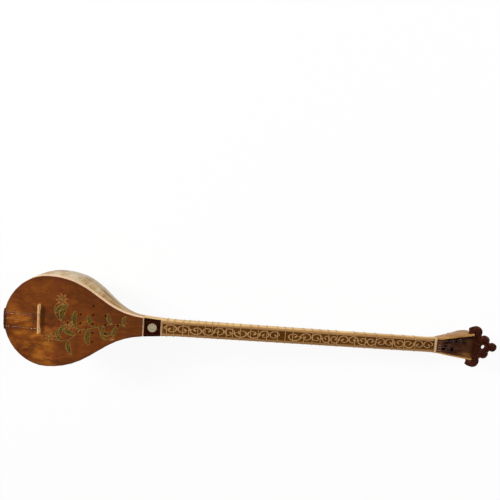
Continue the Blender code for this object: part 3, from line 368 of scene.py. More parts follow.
def carved_wood(name):
    """Dark wood with painted shade in the carver's cuts, whose depth the crest carries as a value."""
    material = straight_wood(name, (0.022, 0.0036, 0.0012), (0.085, 0.018, 0.006), gloss=(0.38, 0.52), coat=0.0,
                             shine=0.05)
    tree = material.node_tree
    shader = tree.nodes["Principled BSDF"]
    wood = shader.inputs["Base Color"].links[0].from_socket
    # The value "cut" darkens the grooves: painted shade in the carved recesses.
    cut = add(tree, "Attribute", settings={"attribute_name": "cut"}, outputs=2)
    tree.links.new(mixed(tree, sums(tree, "MULTIPLY", cut, 0.85), wood, (0.006, 0.0014, 0.0008, 1.0)),
                   shader.inputs["Base Color"])
    return material


NECK_WOOD = neck_wood("neck_wood")
CREST_WOOD = carved_wood("crest_wood")
STRIP_WOOD = straight_wood("strip_wood", (0.40, 0.24, 0.15), (0.56, 0.37, 0.24), line_spacing=0.5, gloss=(0.4, 0.55), coat=0.0)
RIM_WOOD = straight_wood("rim_wood", (0.66, 0.40, 0.22), (0.86, 0.58, 0.36), gloss=(0.3, 0.45), coat=0.0)
BRIDGE_WOOD = straight_wood("bridge_wood", (0.58, 0.30, 0.115), (0.82, 0.48, 0.22), gloss=(0.4, 0.55), coat=0.0)
DARK_WOOD = straight_wood("dark_wood", (0.016, 0.005, 0.003), (0.050, 0.015, 0.009), line_spacing=0.6,
                          gloss=(0.35, 0.5), coat=0.0, shine=0.2)
PLATE_WOOD = straight_wood("plate_wood", (0.011, 0.0015, 0.0004), (0.028, 0.004, 0.001), line_spacing=0.6,
                           gloss=(0.35, 0.5), coat=0.0, shine=0.04)
PANEL_WOOD = straight_wood("panel_wood", (0.050, 0.014, 0.0015), (0.185, 0.070, 0.009), gloss=(0.4, 0.55), coat=0.0,
                           shine=0.05)
BLOCK_WOOD = straight_wood("block_wood", (0.40, 0.26, 0.14), (0.62, 0.45, 0.27), gloss=(0.6, 0.8), coat=0.0)
INLAY_WOOD = straight_wood("inlay_wood", (0.43, 0.22, 0.090), (0.61, 0.35, 0.155), line_spacing=0.5, coat=0.0,
                           shine=0.1)
TAIL_WOOD = straight_wood("tail_wood", (0.040, 0.013, 0.005), (0.110, 0.040, 0.013), line_spacing=0.6)
print("straight woods made")

# %% [markdown]
# The bowl is bent from flamed maple: patches across the grain catch the light, greyish white
# against tan, and each stave has its own. The staves built below carry two maps for this: one in
# millimetres across and along the stave, and one with the distance to the nearest seam, which
# draws the light line of glue between two staves.

# %% Flamed staves
def stave_wood(name, shift, warmth, tone):
    material, tree, shader = start_material(name)
    flat = add(tree, "UVMap", settings={"uv_map": "stave"})

    def on_stave(across, along):
        made = tree.nodes.new("ShaderNodeMapping")
        tree.links.new(flat, made.inputs["Vector"])
        made.inputs["Location"].default_value = (shift, shift * 0.7, 0.0)
        made.inputs["Scale"].default_value = (1000.0 / across, 1000.0 / along, 1.0)
        return made.outputs[0]

    patches = add(tree, "TexNoise", Vector=on_stave(150.0, 30.0), Scale=1.0, Detail=2.0, Roughness=0.45,
                  Distortion=0.4)
    flame = add(tree, "TexNoise", Vector=on_stave(45.0, 4.0), Scale=1.0, Detail=3.0, Distortion=0.5)
    lines = add(tree, "TexNoise", Vector=on_stave(0.9, 26.0), Scale=1.0, Detail=4.0, Roughness=0.6)
    bands = sums(tree, "MULTIPLY_ADD", flame, 0.22, sums(tree, "MULTIPLY", patches, 0.84))
    parts = tree.nodes.new("ShaderNodeSeparateXYZ")
    tree.links.new(in_instrument(tree), parts.inputs[0])
    share = sums(tree, "SUBTRACT", rescaled(tree, bands, 0.46, 0.62), rescaled(tree, parts.outputs[0], 85.0, 150.0, 0.0, 0.6))
    tans = [(0.31 * warmth, 0.160, 0.038), (0.42 * warmth, 0.248, 0.074), (0.52, 0.365, 0.172), (0.60, 0.46, 0.285)]
    # Tone scales every colour of the stave; below 1 it is painted shade.
    colour = ramp(tree, share, *[(stop, [c * tone for c in tan]) for stop, tan in zip((0.0, 0.45, 0.75, 1.0), tans)])
    dark_lines = rescaled(tree, lines, 0.50, 0.72, 0.0, 0.25)
    colour = mixed(tree, dark_lines, colour, (0.24, 0.13, 0.05, 1.0))
    seam = add(tree, "Attribute", settings={"attribute_name": "seam_distance"}, outputs=2)
    colour = mixed(tree, rescaled(tree, seam, 0.8, 1.0, 0.85, 0.0), colour, (0.80, 0.56, 0.26, 1.0))
    tree.links.new(colour, shader.inputs["Base Color"])
    rough, _ = use_group(tree, HANDLING, Place=in_instrument(tree), Least=0.18, Most=0.34)
    tree.links.new(rough, shader.inputs["Roughness"])
    shader.inputs["Specular IOR Level"].default_value = 0.05
    bumped(tree, shader, bands, 0.12, 0.0002)
    return material


# Every stave but the two beside the rim gets a lower tone: painted shade where the bowl turns away from the light.
STAVE_WOODS = [stave_wood("stave_wood_%02d" % n, shift=3.7 * n, warmth=1.0 + 0.05 * math.sin(2.3 * n),
                          tone=1.0 if n in (1, 11) else 0.80 + 0.05 * math.sin(1.7 * n))
               for n in range(1, 12)]
print("stave woods:", len(STAVE_WOODS))

# %% [markdown]
# The soundboard is a red-brown burl under thick gloss. Burl has clouds of light and dark at many
# sizes and small dark eyes, which a distorted noise and a Voronoi pattern give. The edge is
# stained darker: a curve gives the half width of the board along its length, and the share of
# it that a point lies out drives the stain.

# %% Burl soundboard
OUTLINE_STOPS = (TAIL_X, -50, -45, -35, -20, 0, 20, 45, 70, 95, 120, 145, JOINT_X)
BOARD_HALF_WIDTHS = [(x, bowl_size(x, BOWL_HALF_WIDTH, WIDTH_SHOULDER)) for x in OUTLINE_STOPS]
BOARD_START, BOARD_END, BOARD_WIDEST = -60.0, 170.0, 80.0


def board_share_out(tree, place):
    """How far out a point of the board lies: 0 on the centre line, 1 on the edge."""
    parts = tree.nodes.new("ShaderNodeSeparateXYZ")
    tree.links.new(place, parts.inputs[0])
    curve = tree.nodes.new("ShaderNodeFloatCurve")
    tree.links.new(rescaled(tree, parts.outputs[0], BOARD_START, BOARD_END), curve.inputs["Value"])
    points = curve.mapping.curves[0].points
    while len(points) < len(BOARD_HALF_WIDTHS):
        points.new(0.5, 0.5)
    for point, (x, half_width) in zip(points, BOARD_HALF_WIDTHS):
        point.location = ((x - BOARD_START) / (BOARD_END - BOARD_START), half_width / BOARD_WIDEST)
    curve.mapping.update()
    out = sums(tree, "DIVIDE", sums(tree, "ABSOLUTE", parts.outputs[1]), BOARD_WIDEST)
    return sums(tree, "DIVIDE", out, curve.outputs[0]), parts.outputs[0]


def burl_wood(name):
    """Red-brown burl with golden clouds, dark streaks along the grain and a light wooden edge; painted shade darkens it
    towards the neck and a painted highlight lines its +Y edge.
    """
    material, tree, shader = start_material(name)
    place = in_instrument(tree)
    parts = tree.nodes.new("ShaderNodeSeparateXYZ")
    tree.links.new(place, parts.inputs[0])
    clouds = add(tree, "TexNoise", Vector=place, Scale=0.022, Detail=5.0, Roughness=0.55, Distortion=0.9)
    swirls = add(tree, "TexNoise", Vector=in_instrument(tree, stretch=(2.2, 1.0, 1.0)), Scale=0.085,
                 Detail=5.0, Roughness=0.6, Distortion=1.6)
    tone = sums(tree, "MULTIPLY_ADD", swirls, 0.42, sums(tree, "MULTIPLY", clouds, 0.58))
    lower_left = sums(tree, "MULTIPLY", rescaled(tree, parts.outputs[1], 10.0, -50.0),
                      rescaled(tree, parts.outputs[0], 60.0, 0.0))
    tone = sums(tree, "MULTIPLY_ADD", lower_left, 0.07, tone)
    colour = ramp(tree, rescaled(tree, tone, 0.40, 0.70),
                  (0.0, (0.120, 0.030, 0.004)), (0.35, (0.175, 0.044, 0.005)),
                  (0.65, (0.225, 0.060, 0.006)), (1.0, (0.34, 0.125, 0.014)))
    streaks = add(tree, "TexNoise", Vector=in_instrument(tree, stretch=(5.0, 1.0, 1.0)), Scale=0.11,
                  Detail=4.0, Roughness=0.65, Distortion=0.8)
    colour = mixed(tree, rescaled(tree, streaks, 0.55, 0.74, 0.0, 0.5), colour, (0.060, 0.012, 0.005, 1.0))
    blotches = add(tree, "TexNoise", Vector=in_instrument(tree, stretch=(1.5, 1.0, 1.0)), Scale=0.042, Detail=3.0,
                   Roughness=0.5, Distortion=1.1)
    blotched = sums(tree, "MULTIPLY", rescaled(tree, parts.outputs[0], 60.0, 25.0),
                    rescaled(tree, parts.outputs[1], 30.0, 0.0))
    gold = sums(tree, "MULTIPLY", rescaled(tree, blotches, 0.48, 0.62), sums(tree, "MULTIPLY", blotched, 0.8))
    colour = mixed(tree, gold, colour, (0.41, 0.130, 0.014, 1.0))
    dark_blots = sums(tree, "MULTIPLY", rescaled(tree, blotches, 0.44, 0.34), sums(tree, "MULTIPLY", blotched, 0.7))
    colour = mixed(tree, dark_blots, colour, (0.085, 0.016, 0.003, 1.0))
    reds = add(tree, "TexNoise", Vector=place, Scale=0.045, Detail=2.0)
    colour = mixed(tree, rescaled(tree, reds, 0.52, 0.72, 0.0, 0.5), colour, (0.20, 0.030, 0.010, 1.0))
    share_out, along = board_share_out(tree, place)
    edge = sums(tree, "MAXIMUM", rescaled(tree, share_out, 0.86, 1.0),
                rescaled(tree, along, -46.0, -54.0))
    colour = mixed(tree, sums(tree, "MULTIPLY", edge, 0.55), colour, (0.070, 0.018, 0.006, 1.0))
    # Darker towards the neck: painted shade, for the light falling off away from the lamp.
    shade_to_neck = rescaled(tree, parts.outputs[0], 20.0, 150.0, 0.0, 0.42)
    colour = mixed(tree, shade_to_neck, colour, (0.055, 0.012, 0.002, 1.0))
    on_side = sums(tree, "MULTIPLY", rescaled(tree, parts.outputs[2], -0.25, -0.45),
                   rescaled(tree, share_out, 0.93, 0.96))
    colour = mixed(tree, on_side, colour, (0.86, 0.58, 0.36, 1.0))
    # A thin light line along the board's edge, only on the +Y side: painted highlight where the edge faces the light.
    lit_edge = sums(tree, "MULTIPLY", rescaled(tree, share_out, 0.985, 0.99), rescaled(tree, parts.outputs[1], -5.0, 25.0))
    colour = mixed(tree, lit_edge, colour, (0.80, 0.50, 0.28, 1.0))
    tree.links.new(colour, shader.inputs["Base Color"])
    rough, cloud = use_group(tree, HANDLING, Place=place, Least=0.20, Most=0.34)
    tree.links.new(rough, shader.inputs["Roughness"])
    shader.inputs["Coat Weight"].default_value = 0.1
    shader.inputs["Coat Roughness"].default_value = 0.15
    bumped(tree, shader, sums(tree, "MULTIPLY_ADD", swirls, 0.3, cloud), 0.05, 0.0003)
    return material


BOARD_WOOD = burl_wood("board_wood")
print("burl made")

# %% [markdown]
# Bone, gut and wire are small, but they are what the eye meets along the strings. Bone has faint
# lines, gut is a little uneven, and wire is plain metal.

# %% Bone, gut and wire
def bone(name, colour):
    material, tree, shader = start_material(name)
    noise = add(tree, "TexNoise", Vector=in_instrument(tree, stretch=(1.0, 6.0, 1.0)), Scale=1.2, Detail=3.0)
    dark = [c * 0.72 for c in colour]
    tree.links.new(ramp(tree, rescaled(tree, noise, 0.3, 0.7), (0.0, dark), (1.0, colour)),
                   shader.inputs["Base Color"])
    shader.inputs["Roughness"].default_value = 0.3
    shader.inputs["Subsurface Weight"].default_value = 0.1
    shader.inputs["Subsurface Scale"].default_value = 0.002
    return material


def gut(name):
    material, tree, shader = start_material(name)
    noise = add(tree, "TexNoise", Vector=in_instrument(tree), Scale=0.9, Detail=3.0)
    tree.links.new(ramp(tree, rescaled(tree, noise, 0.3, 0.7), (0.0, (0.45, 0.25, 0.075)), (1.0, (0.61, 0.37, 0.120))),
                   shader.inputs["Base Color"])
    shader.inputs["Roughness"].default_value = 0.5
    shader.inputs["Specular IOR Level"].default_value = 0.1
    return material


def wire(name, colour, roughness):
    material, tree, shader = start_material(name)
    noise = add(tree, "TexNoise", Vector=in_instrument(tree), Scale=2.0, Detail=2.0)
    dull = [c * 0.8 for c in colour]
    parts = tree.nodes.new("ShaderNodeSeparateXYZ")
    tree.links.new(in_instrument(tree), parts.inputs[0])
    # Past the nut the wire is darker and duller; the darker colour is painted shade of the pegbox's hollow.
    wound = rescaled(tree, parts.outputs[0], HEAD_X + 1.0, HEAD_X + 8.0)
    darkened_in_pegbox = mixed(tree, wound, ramp(tree, noise, (0.3, dull), (0.7, colour)), (0.17, 0.11, 0.085, 1.0))
    tree.links.new(darkened_in_pegbox, shader.inputs["Base Color"])
    shader.inputs["Metallic"].default_value = 1.0
    tree.links.new(sums(tree, "MULTIPLY_ADD", wound, 0.4, roughness), shader.inputs["Roughness"])
    return material


BONE = bone("bone", (0.46, 0.38, 0.24))
NUT_BONE = bone("nut_bone", (0.64, 0.46, 0.23))
GUT = gut("gut")
STEEL = wire("steel", (0.42, 0.39, 0.35), 0.18)
BRASS = wire("brass", (0.44, 0.30, 0.14), 0.18)
print("bone, gut, wire made")

# %% [markdown]
# The pegbox is the neck's wood, and its inside is stained dark. The stain has its own material
# slot, so it ends exactly at the rim. The paints are plain lacquers, a little uneven.

# %% Stained pegbox and paints
def stained_wood(name):
    """Dark stain, redder on the platform, with a painted golden brown light on one wall near the crest."""
    material = straight_wood(name, (0.034, 0.010, 0.004), (0.115, 0.040, 0.015), gloss=(0.35, 0.5), coat=0.0,
                             shine=0.15)
    tree = material.node_tree
    shader = tree.nodes["Principled BSDF"]
    colour = shader.inputs["Base Color"].links[0].from_socket
    parts = tree.nodes.new("ShaderNodeSeparateXYZ")
    tree.links.new(in_instrument(tree, origin=HEAD.translation, turn=lean + HEAD_LEAN), parts.inputs[0])
    platform = rescaled(tree, parts.outputs[0], 14.0, 9.0, 0.0, 0.7)
    colour = mixed(tree, platform, colour, (0.125, 0.040, 0.016, 1.0))
    # Golden brown on the inner face of the -Y wall near the crest: painted light where that wall faces the lamp.
    lit_wall = sums(tree, "MULTIPLY", rescaled(tree, parts.outputs[1], -12.0, -15.5), rescaled(tree, parts.outputs[0], 36.0, 56.0))
    colour = mixed(tree, sums(tree, "MULTIPLY", lit_wall, 0.6), colour, (0.22, 0.095, 0.022, 1.0))
    tree.links.new(colour, shader.inputs["Base Color"])
    return material


def paint(name, dark, light, scale=0.35):
    """Thin lacquer paint whose strokes are a little uneven."""
    material, tree, shader = start_material(name)
    noise = add(tree, "TexNoise", Vector=in_instrument(tree), Scale=scale, Detail=4.0, Roughness=0.6)
    tree.links.new(ramp(tree, rescaled(tree, noise, 0.35, 0.65), (0.0, dark), (1.0, light)),
                   shader.inputs["Base Color"])
    shader.inputs["Roughness"].default_value = 0.35
    shader.inputs["Specular IOR Level"].default_value = 0.1
    return material


HEAD_WOOD = straight_wood("head_wood", (0.19, 0.068, 0.014), (0.70, 0.38, 0.120), line_spacing=1.8, coat=0.0,
                          shine=0.15, bump=0.2)
STAINED_WOOD = stained_wood("stained_wood")
GREEN_PAINT = paint("green_paint", (0.024, 0.022, 0.002), (0.105, 0.088, 0.010))
GOLD_PAINT = paint("gold_paint", (0.20, 0.105, 0.020), (0.42, 0.26, 0.075))
ROSE_PAINT = paint("rose_paint", (0.20, 0.055, 0.012), (0.40, 0.140, 0.036))
SHADE_PAINT = paint("shade_paint", (0.055, 0.014, 0.003), (0.110, 0.028, 0.006))
print("stain and paints made")

# %% [markdown]
# ## Building finer pieces
# The solids are kept simple for physics. Where the eye meets their facets, a finer piece takes
# their place: it is built in the instrument's millimetres and put into the world as one mesh.
# Each finished piece is noted with the body it moves with, its material slot and the solids that
# it stands for, and all of them are handed over together at the end.

# %% Helpers for meshes
PIECES = []


def mesh_piece(name, points, faces, material, axes=INSTRUMENT, smooth_degrees=35.0, values=None, flat_map=None):
    """Makes one closed mesh. Values are numbers kept on its points, flat_map a place for each point."""
    mesh = bpy.data.meshes.new(name)
    mesh.from_pydata([axes @ Vector(p) for p in points], [], faces)
    mesh.materials.append(material)
    if flat_map:
        label, places = flat_map
        layer = mesh.uv_layers.new(name=label)
        for loop in mesh.loops:
            layer.data[loop.index].uv = places[loop.vertex_index]
    for label, numbers in (values or {}).items():
        mesh.attributes.new(label, "FLOAT", "POINT").data.foreach_set("value", numbers)
    shape = bmesh.new()
    shape.from_mesh(mesh)
    bmesh.ops.recalc_face_normals(shape, faces=shape.faces)
    shape.to_mesh(mesh)
    shape.free()
    mesh.shade_smooth()
    mesh.set_sharp_from_angle(angle=math.radians(smooth_degrees))
    made = bpy.data.objects.new(name, mesh)
    bpy.context.scene.collection.objects.link(made)
    return made


def keep(piece, body, slot, replaced=()):
    PIECES.append((piece, body, slot, tuple(replaced)))
    return piece


def loft_faces(ring_count, ring_size):
    """Faces of a closed solid through rings of points, with both ends filled."""
    faces = []
    for ring in range(ring_count - 1):
        low, high = ring * ring_size, (ring + 1) * ring_size
        for index in range(ring_size):
            following = (index + 1) % ring_size
            faces.append((low + index, low + following, high + following, high + index))
    last = (ring_count - 1) * ring_size
    faces.append(tuple(range(ring_size)))
    faces.append(tuple(range(last, last + ring_size)))
    return faces


def applied(source, material=None):
    """The object with its modifiers made real, as one plain mesh."""
    graph = bpy.context.evaluated_depsgraph_get()
    mesh = bpy.data.meshes.new_from_object(source.evaluated_get(graph))
    name = source.name
    bpy.data.objects.remove(source, do_unlink=True)
    mesh.name = name
    if material:
        mesh.materials.clear()
        mesh.materials.append(material)
    made = bpy.data.objects.new(name, mesh)
    bpy.context.scene.collection.objects.link(made)
    return made


def superellipse(half_width, depth, roundness, angle):
    """Point of a rounded U section: angle 0 is the +Y edge, a right angle is the deepest point."""
    c, s = math.cos(angle), math.sin(angle)
    y = math.copysign(abs(c) ** (2 / roundness), c) * half_width
    return y, -depth * abs(s) ** (2 / roundness)


def through(table, x):
    """Smooth curve through a table of (x, value) pairs."""
    if x <= table[0][0]:
        return table[0][1]
    if x >= table[-1][0]:
        return table[-1][1]
    i = max(j for j in range(len(table) - 1) if table[j][0] <= x)

    def slope(j):
        low, high = max(j - 1, 0), min(j + 1, len(table) - 1)
        return (table[high][1] - table[low][1]) / (table[high][0] - table[low][0])

    (x0, v0), (x1, v1) = table[i], table[i + 1]
    width = x1 - x0
    t = (x - x0) / width
    return (v0 * (2 * t ** 3 - 3 * t ** 2 + 1) + v1 * (3 * t ** 2 - 2 * t ** 3)
            + slope(i) * width * (t ** 3 - 2 * t ** 2 + t) + slope(i + 1) * width * (t ** 3 - t ** 2))


print("mesh helpers ready")

# %% [markdown]
# A section of the bowl is a rounded U. Seams are spaced evenly round the widest section, and each
# stave is a strip of the bowl's surface with its own thickness.

# %% Staves of the bowl
STAVE_TOP, STAVE_THICKNESS = 7.7, 2.8
STAVE_COUNT = 11
STATIONS_AT_TAIL, STATIONS_AT_SHOULDER = 12, 30
STEPS_ACROSS = 8
SEAM_GAP = 0.04
FIT_GAP = 0.3


def bowl_roundness(x):
    along = max(0.0, (x - WIDEST_X) / (JOINT_X - WIDEST_X))
    return BOWL_ROUNDNESS + (NECK_START_ROUNDNESS - BOWL_ROUNDNESS) * along ** 2


def bowl_point(x, angle):
    half_width, depth = bowl_size(x, BOWL_HALF_WIDTH, WIDTH_SHOULDER), bowl_size(x, BOWL_DEPTH, DEPTH_SHOULDER)
    return Vector((x, *superellipse(half_width, depth, bowl_roundness(x), angle)))


def bowl_normal(x, angle):
    low, high = max(x - 0.05, TAIL_X), min(x + 0.05, JOINT_X)
    along = bowl_point(high, angle) - bowl_point(low, angle)
    around = bowl_point(x, angle + 0.002) - bowl_point(x, angle - 0.002)
    return along.cross(around).normalized()


def angle_at_depth(x, depth):
    share = min(1.0, depth / bowl_size(x, BOWL_DEPTH, DEPTH_SHOULDER))
    return math.asin(share ** (bowl_roundness(x) / 2))


def bowl_stations():
    first = math.acos((WIDEST_X - TAIL_X) / TAIL_LENGTH)
    swing = math.pi / 2 - first
    tail = [WIDEST_X - TAIL_LENGTH * math.cos(first + swing * i / STATIONS_AT_TAIL)
            for i in range(STATIONS_AT_TAIL)]
    length = JOINT_X - FIT_GAP - WIDEST_X
    return tail + [WIDEST_X + length * i / STATIONS_AT_SHOULDER for i in range(STATIONS_AT_SHOULDER + 1)]


def seam_shares():
    start, steps = angle_at_depth(WIDEST_X, STAVE_TOP), 400
    angles = [start + (math.pi / 2 - start) * i / steps for i in range(steps + 1)]
    lengths = [0.0]
    for a, b in zip(angles, angles[1:]):
        lengths.append(lengths[-1] + (bowl_point(WIDEST_X, b) - bowl_point(WIDEST_X, a)).length)
    width = lengths[-1] / (STAVE_COUNT / 2)
    return [min(range(steps + 1), key=lambda i: abs(lengths[i] - seam * width)) / steps
            for seam in range(STAVE_COUNT // 2 + 1)]


def stave_ring(x, first_share, last_share):
    """Outer points across one stave, then the inner ones back."""
    start = angle_at_depth(x, STAVE_TOP)
    span = math.pi / 2 - start
    first, last = start + span * first_share, start + span * last_share
    if last_share > 1.0:
        edge, inner = bowl_point(x, first), bowl_point(x, first) - bowl_normal(x, first) * STAVE_THICKNESS
        shares = [i / STEPS_ACROSS for i in range(STEPS_ACROSS + 1)]
        outer = [Vector((x, edge.y * (1 - 2 * t), edge.z)) for t in shares]
        return outer + [Vector((inner.x, -inner.y * (1 - 2 * t), inner.z)) for t in shares]
    width = (bowl_point(x, last) - bowl_point(x, first)).length
    trim = (last - first) * SEAM_GAP / 2 / width
    first, last = first + trim, last - trim
    angles = [first + (last - first) * i / STEPS_ACROSS for i in range(STEPS_ACROSS + 1)]
    return ([bowl_point(x, a) for a in angles]
            + [bowl_point(x, a) - bowl_normal(x, a) * STAVE_THICKNESS for a in reversed(angles)])


def make_stave(number, first_share, last_share, mirror):
    stations = bowl_stations()
    points, places, distances = [], [], []
    for x in stations:
        ring = stave_ring(x, first_share, last_share)
        half = len(ring) // 2
        across = [0.0]
        for a, b in zip(ring[:half], ring[1:half]):
            across.append(across[-1] + (b - a).length)
        middle = across[-1] / 2
        across += list(reversed(across))
        points += [(p.x, -p.y if mirror else p.y, p.z) for p in ring]
        places += [((c - middle) / 1000.0, x / 1000.0) for c in across]
        distances += [min(c, 2 * middle - c) for c in across]
    name = "flamed_stave_%02d" % number
    stave = mesh_piece(name, points, loft_faces(len(stations), len(points) // len(stations)),
                       STAVE_WOODS[number - 1], values={"seam_distance": distances}, flat_map=("stave", places))
    return keep(stave, "instrument", "stave_wood", ["bowl_stave_%02d" % number])


SHARES = seam_shares()
KEEL_NUMBER = STAVE_COUNT // 2 + 1
for number, (first, last) in enumerate(zip(SHARES, SHARES[1:]), start=1):
    make_stave(number, first, last, mirror=False)
    make_stave(2 * KEEL_NUMBER - number, first, last, mirror=True)
make_stave(KEEL_NUMBER, SHARES[-1], 2.0, mirror=False)
print("staves:", len(PIECES))

# %% [markdown]
# The neck is a long rounded U that blends into the bowl at one end and flares a little at the
# other. Its upper edges are softened, which gives the bright line along the border in the
# photograph. The plate, the fingerboard and the nut are let into its face.

# %% Neck
FACE_X = 197.8
FACE_DROP = 0.02
EDGE_RADIUS = 0.7
NECK_FACETS = 32


def softened_u(half_width, depth, roundness, facets, top):
    """Rounded U whose two upper edges are softened, from the +Y side to the other."""
    angles = [math.pi * i / facets for i in range(facets + 1)]
    section = [superellipse(half_width, depth, roundness, a) for a in angles]
    section = [(y, min(z, top - EDGE_RADIUS)) for y, z in section]
    near = [(half_width - EDGE_RADIUS, top), (half_width - EDGE_RADIUS * 0.3, top - EDGE_RADIUS * 0.3)]
    return near + section + [(-y, z) for y, z in reversed(near)]


def neck_roundness(x):
    along = min(1.0, (x - JOINT_X) / (NUT_X - JOINT_X))
    return NECK_START_ROUNDNESS + (NECK_END_ROUNDNESS - NECK_START_ROUNDNESS) * along


def make_neck():
    stations = [JOINT_X + 0.1] + [NECK_X - (NECK_X - JOINT_X) * share / 10 for share in range(9, 0, -1)]
    stations += [NECK_X, 300.0, 400.0, 500.0, 600.0]
    stations += [HEAD_X - NECK_FLARE_LENGTH * share for share in (1.0, 0.8, 0.6, 0.4, 0.2)]
    rings = [[(x, y, z) for y, z in softened_u(*neck_size(x), neck_roundness(x), NECK_FACETS, -FACE_DROP)]
             for x in stations]
    end = softened_u(*neck_size(HEAD_X), NECK_END_ROUNDNESS, NECK_FACETS, -FACE_DROP)
    tilt = Matrix.Translation((HEAD_X, 0, 0)) @ Matrix.Rotation(HEAD_LEAN, 4, "Y")
    rings.append([tuple(tilt @ Vector((-FIT_GAP, y, z))) for y, z in end])
    points = [p for ring in rings for p in ring]
    neck = mesh_piece("shaped_neck", points, loft_faces(len(rings), len(rings[0])), NECK_WOOD, smooth_degrees=50.0)
    keep(neck, "instrument", "neck_wood", ["neck"])


make_neck()
print("neck made")

# %% [markdown]
# The pegbox is a scooped box: deep where the pegs stand, with thin walls, a low platform behind
# the nut and a ledge under the crest. One loft makes the outside, the rim and the hollow
# together, and the four peg bores are cut into it. Faces of the hollow take the stain.

# %% Pegbox
PEGBOX_HALF_WIDTHS = ((0.0, 12.6), (8.0, 14.0), (17.0, 15.8), (27.0, 17.4), (38.0, 19.2), (47.0, 20.5),
                      (55.0, 21.8), (64.0, 22.8), (74.0, 18.5))
PEGBOX_DEPTHS = ((0.0, 22.0), (8.0, 22.0), (17.0, 21.5), (27.0, 23.5), (38.0, 29.0), (47.0, 33.5),
                 (55.0, 34.5), (64.0, 29.5), (74.0, 11.0))
HOLLOW_FLOORS = ((9.5, 10.5), (20.0, 12.5), (30.0, 14.5), (40.0, 14.5), (50.0, 12.0), (58.0, 8.5), (66.0, 5.6))
PEGBOX_ROUNDNESS, PEGBOX_SQUARE_FROM_X, HOLLOW_FROM_X, PEGBOX_WALL = 5.0, 22.0, 10.0, 4.3
PLATFORM_LENGTH, PLATFORM_DROP = 10.5, 3.5
LEDGE_X, LEDGE_DROP, PEGBOX_END_X = 64.0, 5.8, 74.0
PEG_PLACES = ((44.2, 6.5), (30.2, 4.5), (24.2, -6.5), (37.2, -9.5))
PEG_BORE_RADIUS = 3.35
CORNER_STEPS = 5
CORNER_RADIUS = 3.0
STAINED_RIM = 1.7


def pegbox_ring(x, floor, top):
    """Section of the pegbox: the outside from rim to rim, then the hollow back to the start."""
    squareness = min(1.0, x / PEGBOX_SQUARE_FROM_X)
    roundness = NECK_END_ROUNDNESS + (PEGBOX_ROUNDNESS - NECK_END_ROUNDNESS) * squareness
    half_width = through(PEGBOX_HALF_WIDTHS, x)
    section = softened_u(half_width, through(PEGBOX_DEPTHS, x), roundness, NECK_FACETS, top)
    inner = through(PEGBOX_HALF_WIDTHS, max(x, HOLLOW_FROM_X)) - PEGBOX_WALL
    if floor <= -top:
        arc = [(inner - CORNER_RADIUS * i / CORNER_STEPS, top) for i in range(CORNER_STEPS + 4)]
    else:
        radius = min(CORNER_RADIUS, floor + top - EDGE_RADIUS)
        turns = [math.pi / 2 * i / CORNER_STEPS for i in range(CORNER_STEPS + 1)]
        arc = [(inner + STAINED_RIM, top), (inner + EDGE_RADIUS, top), (inner, top - EDGE_RADIUS)]
        arc += [(inner - radius * (1 - math.cos(a)), -floor + radius * (1 - math.sin(a))) for a in turns]
    hollow = [(-y, z) for y, z in arc] + list(reversed(arc))
    return [(x, y, z) for y, z in section + hollow], len(section)


def make_pegbox():
    stops = [(x, PLATFORM_DROP, 0.0) for x in (0.0, 2.5, 5.0, 7.5, 9.0, PLATFORM_LENGTH - 0.3)]
    stops += [(PLATFORM_LENGTH + 0.3 + (LEDGE_X - PLATFORM_LENGTH - 0.3) * i / 28, None, 0.0) for i in range(29)]
    stops += [(LEDGE_X + 0.02 + (PEGBOX_END_X - LEDGE_X - 0.02) * i / 8, LEDGE_DROP, -LEDGE_DROP) for i in range(9)]
    rings = []
    for x, floor, top in stops:
        ring, outside = pegbox_ring(x, through(HOLLOW_FLOORS, x) if floor is None else floor, top)
        rings += ring
    size = len(rings) // len(stops)
    box = mesh_piece("scooped_pegbox", rings, loft_faces(len(stops), size), HEAD_WOOD, axes=HEAD)
    box.data.materials.append(STAINED_WOOD)
    for face in box.data.polygons[:size * (len(stops) - 1)]:
        if outside < face.index % size + 1 < size - 1:
            face.material_index = 1
    bores = []
    for place in PEG_PLACES:
        bpy.ops.mesh.primitive_cylinder_add(vertices=28, radius=PEG_BORE_RADIUS, depth=60.0)
        bore = bpy.context.object
        bore.data.transform(HEAD @ Matrix.Translation((*place, -24.0)))
        cut = box.modifiers.new("bore", "BOOLEAN")
        cut.operation = "DIFFERENCE"
        cut.solver = "EXACT"
        cut.object = bore
        bores.append(bore)
    box = applied(box)
    for bore in bores:
        bpy.data.objects.remove(bore, do_unlink=True)
    return keep(box, "instrument", "neck_wood", ["pegbox"])


box = make_pegbox()
print("pegbox faces:", len(box.data.polygons))

# %% [markdown]
# The crest is carved in low relief. A copy of the solid is meshed finely, and every point on its
# front is then lowered: along the edges, so that each lobe is rounded, and near the carver's
# strokes, which are spirals in the curls and lobes, a border round the mouth of the pegbox and
# rings round the hanging hole.

# %% Carved crest
CREST_FRONT = 0.5
CREST_VOXEL = 0.45
CURL_MIDDLE, MIDDLE_LOBE, TIP_LOBE_X, HOLE_X = (67.6, 26.0), (84.6, 11.6), 99.6, 83.2
GROOVE_WIDTH, GROOVE_DEPTH = 1.1, 1.0
EDGE_ROUNDING, EDGE_DROP = 3.2, 1.6
WELD_DISTANCE = 1e-6


def spiral(centre, start_radius, end_radius, turns, start_degrees, steps=60):
    path = []
    for i in range(steps + 1):
        t = i / steps
        radius = start_radius + (end_radius - start_radius) * t ** 0.8
        angle = math.radians(start_degrees) + 2 * math.pi * turns * t
        path.append((centre[0] + radius * math.cos(angle), centre[1] + radius * math.sin(angle)))
    return path


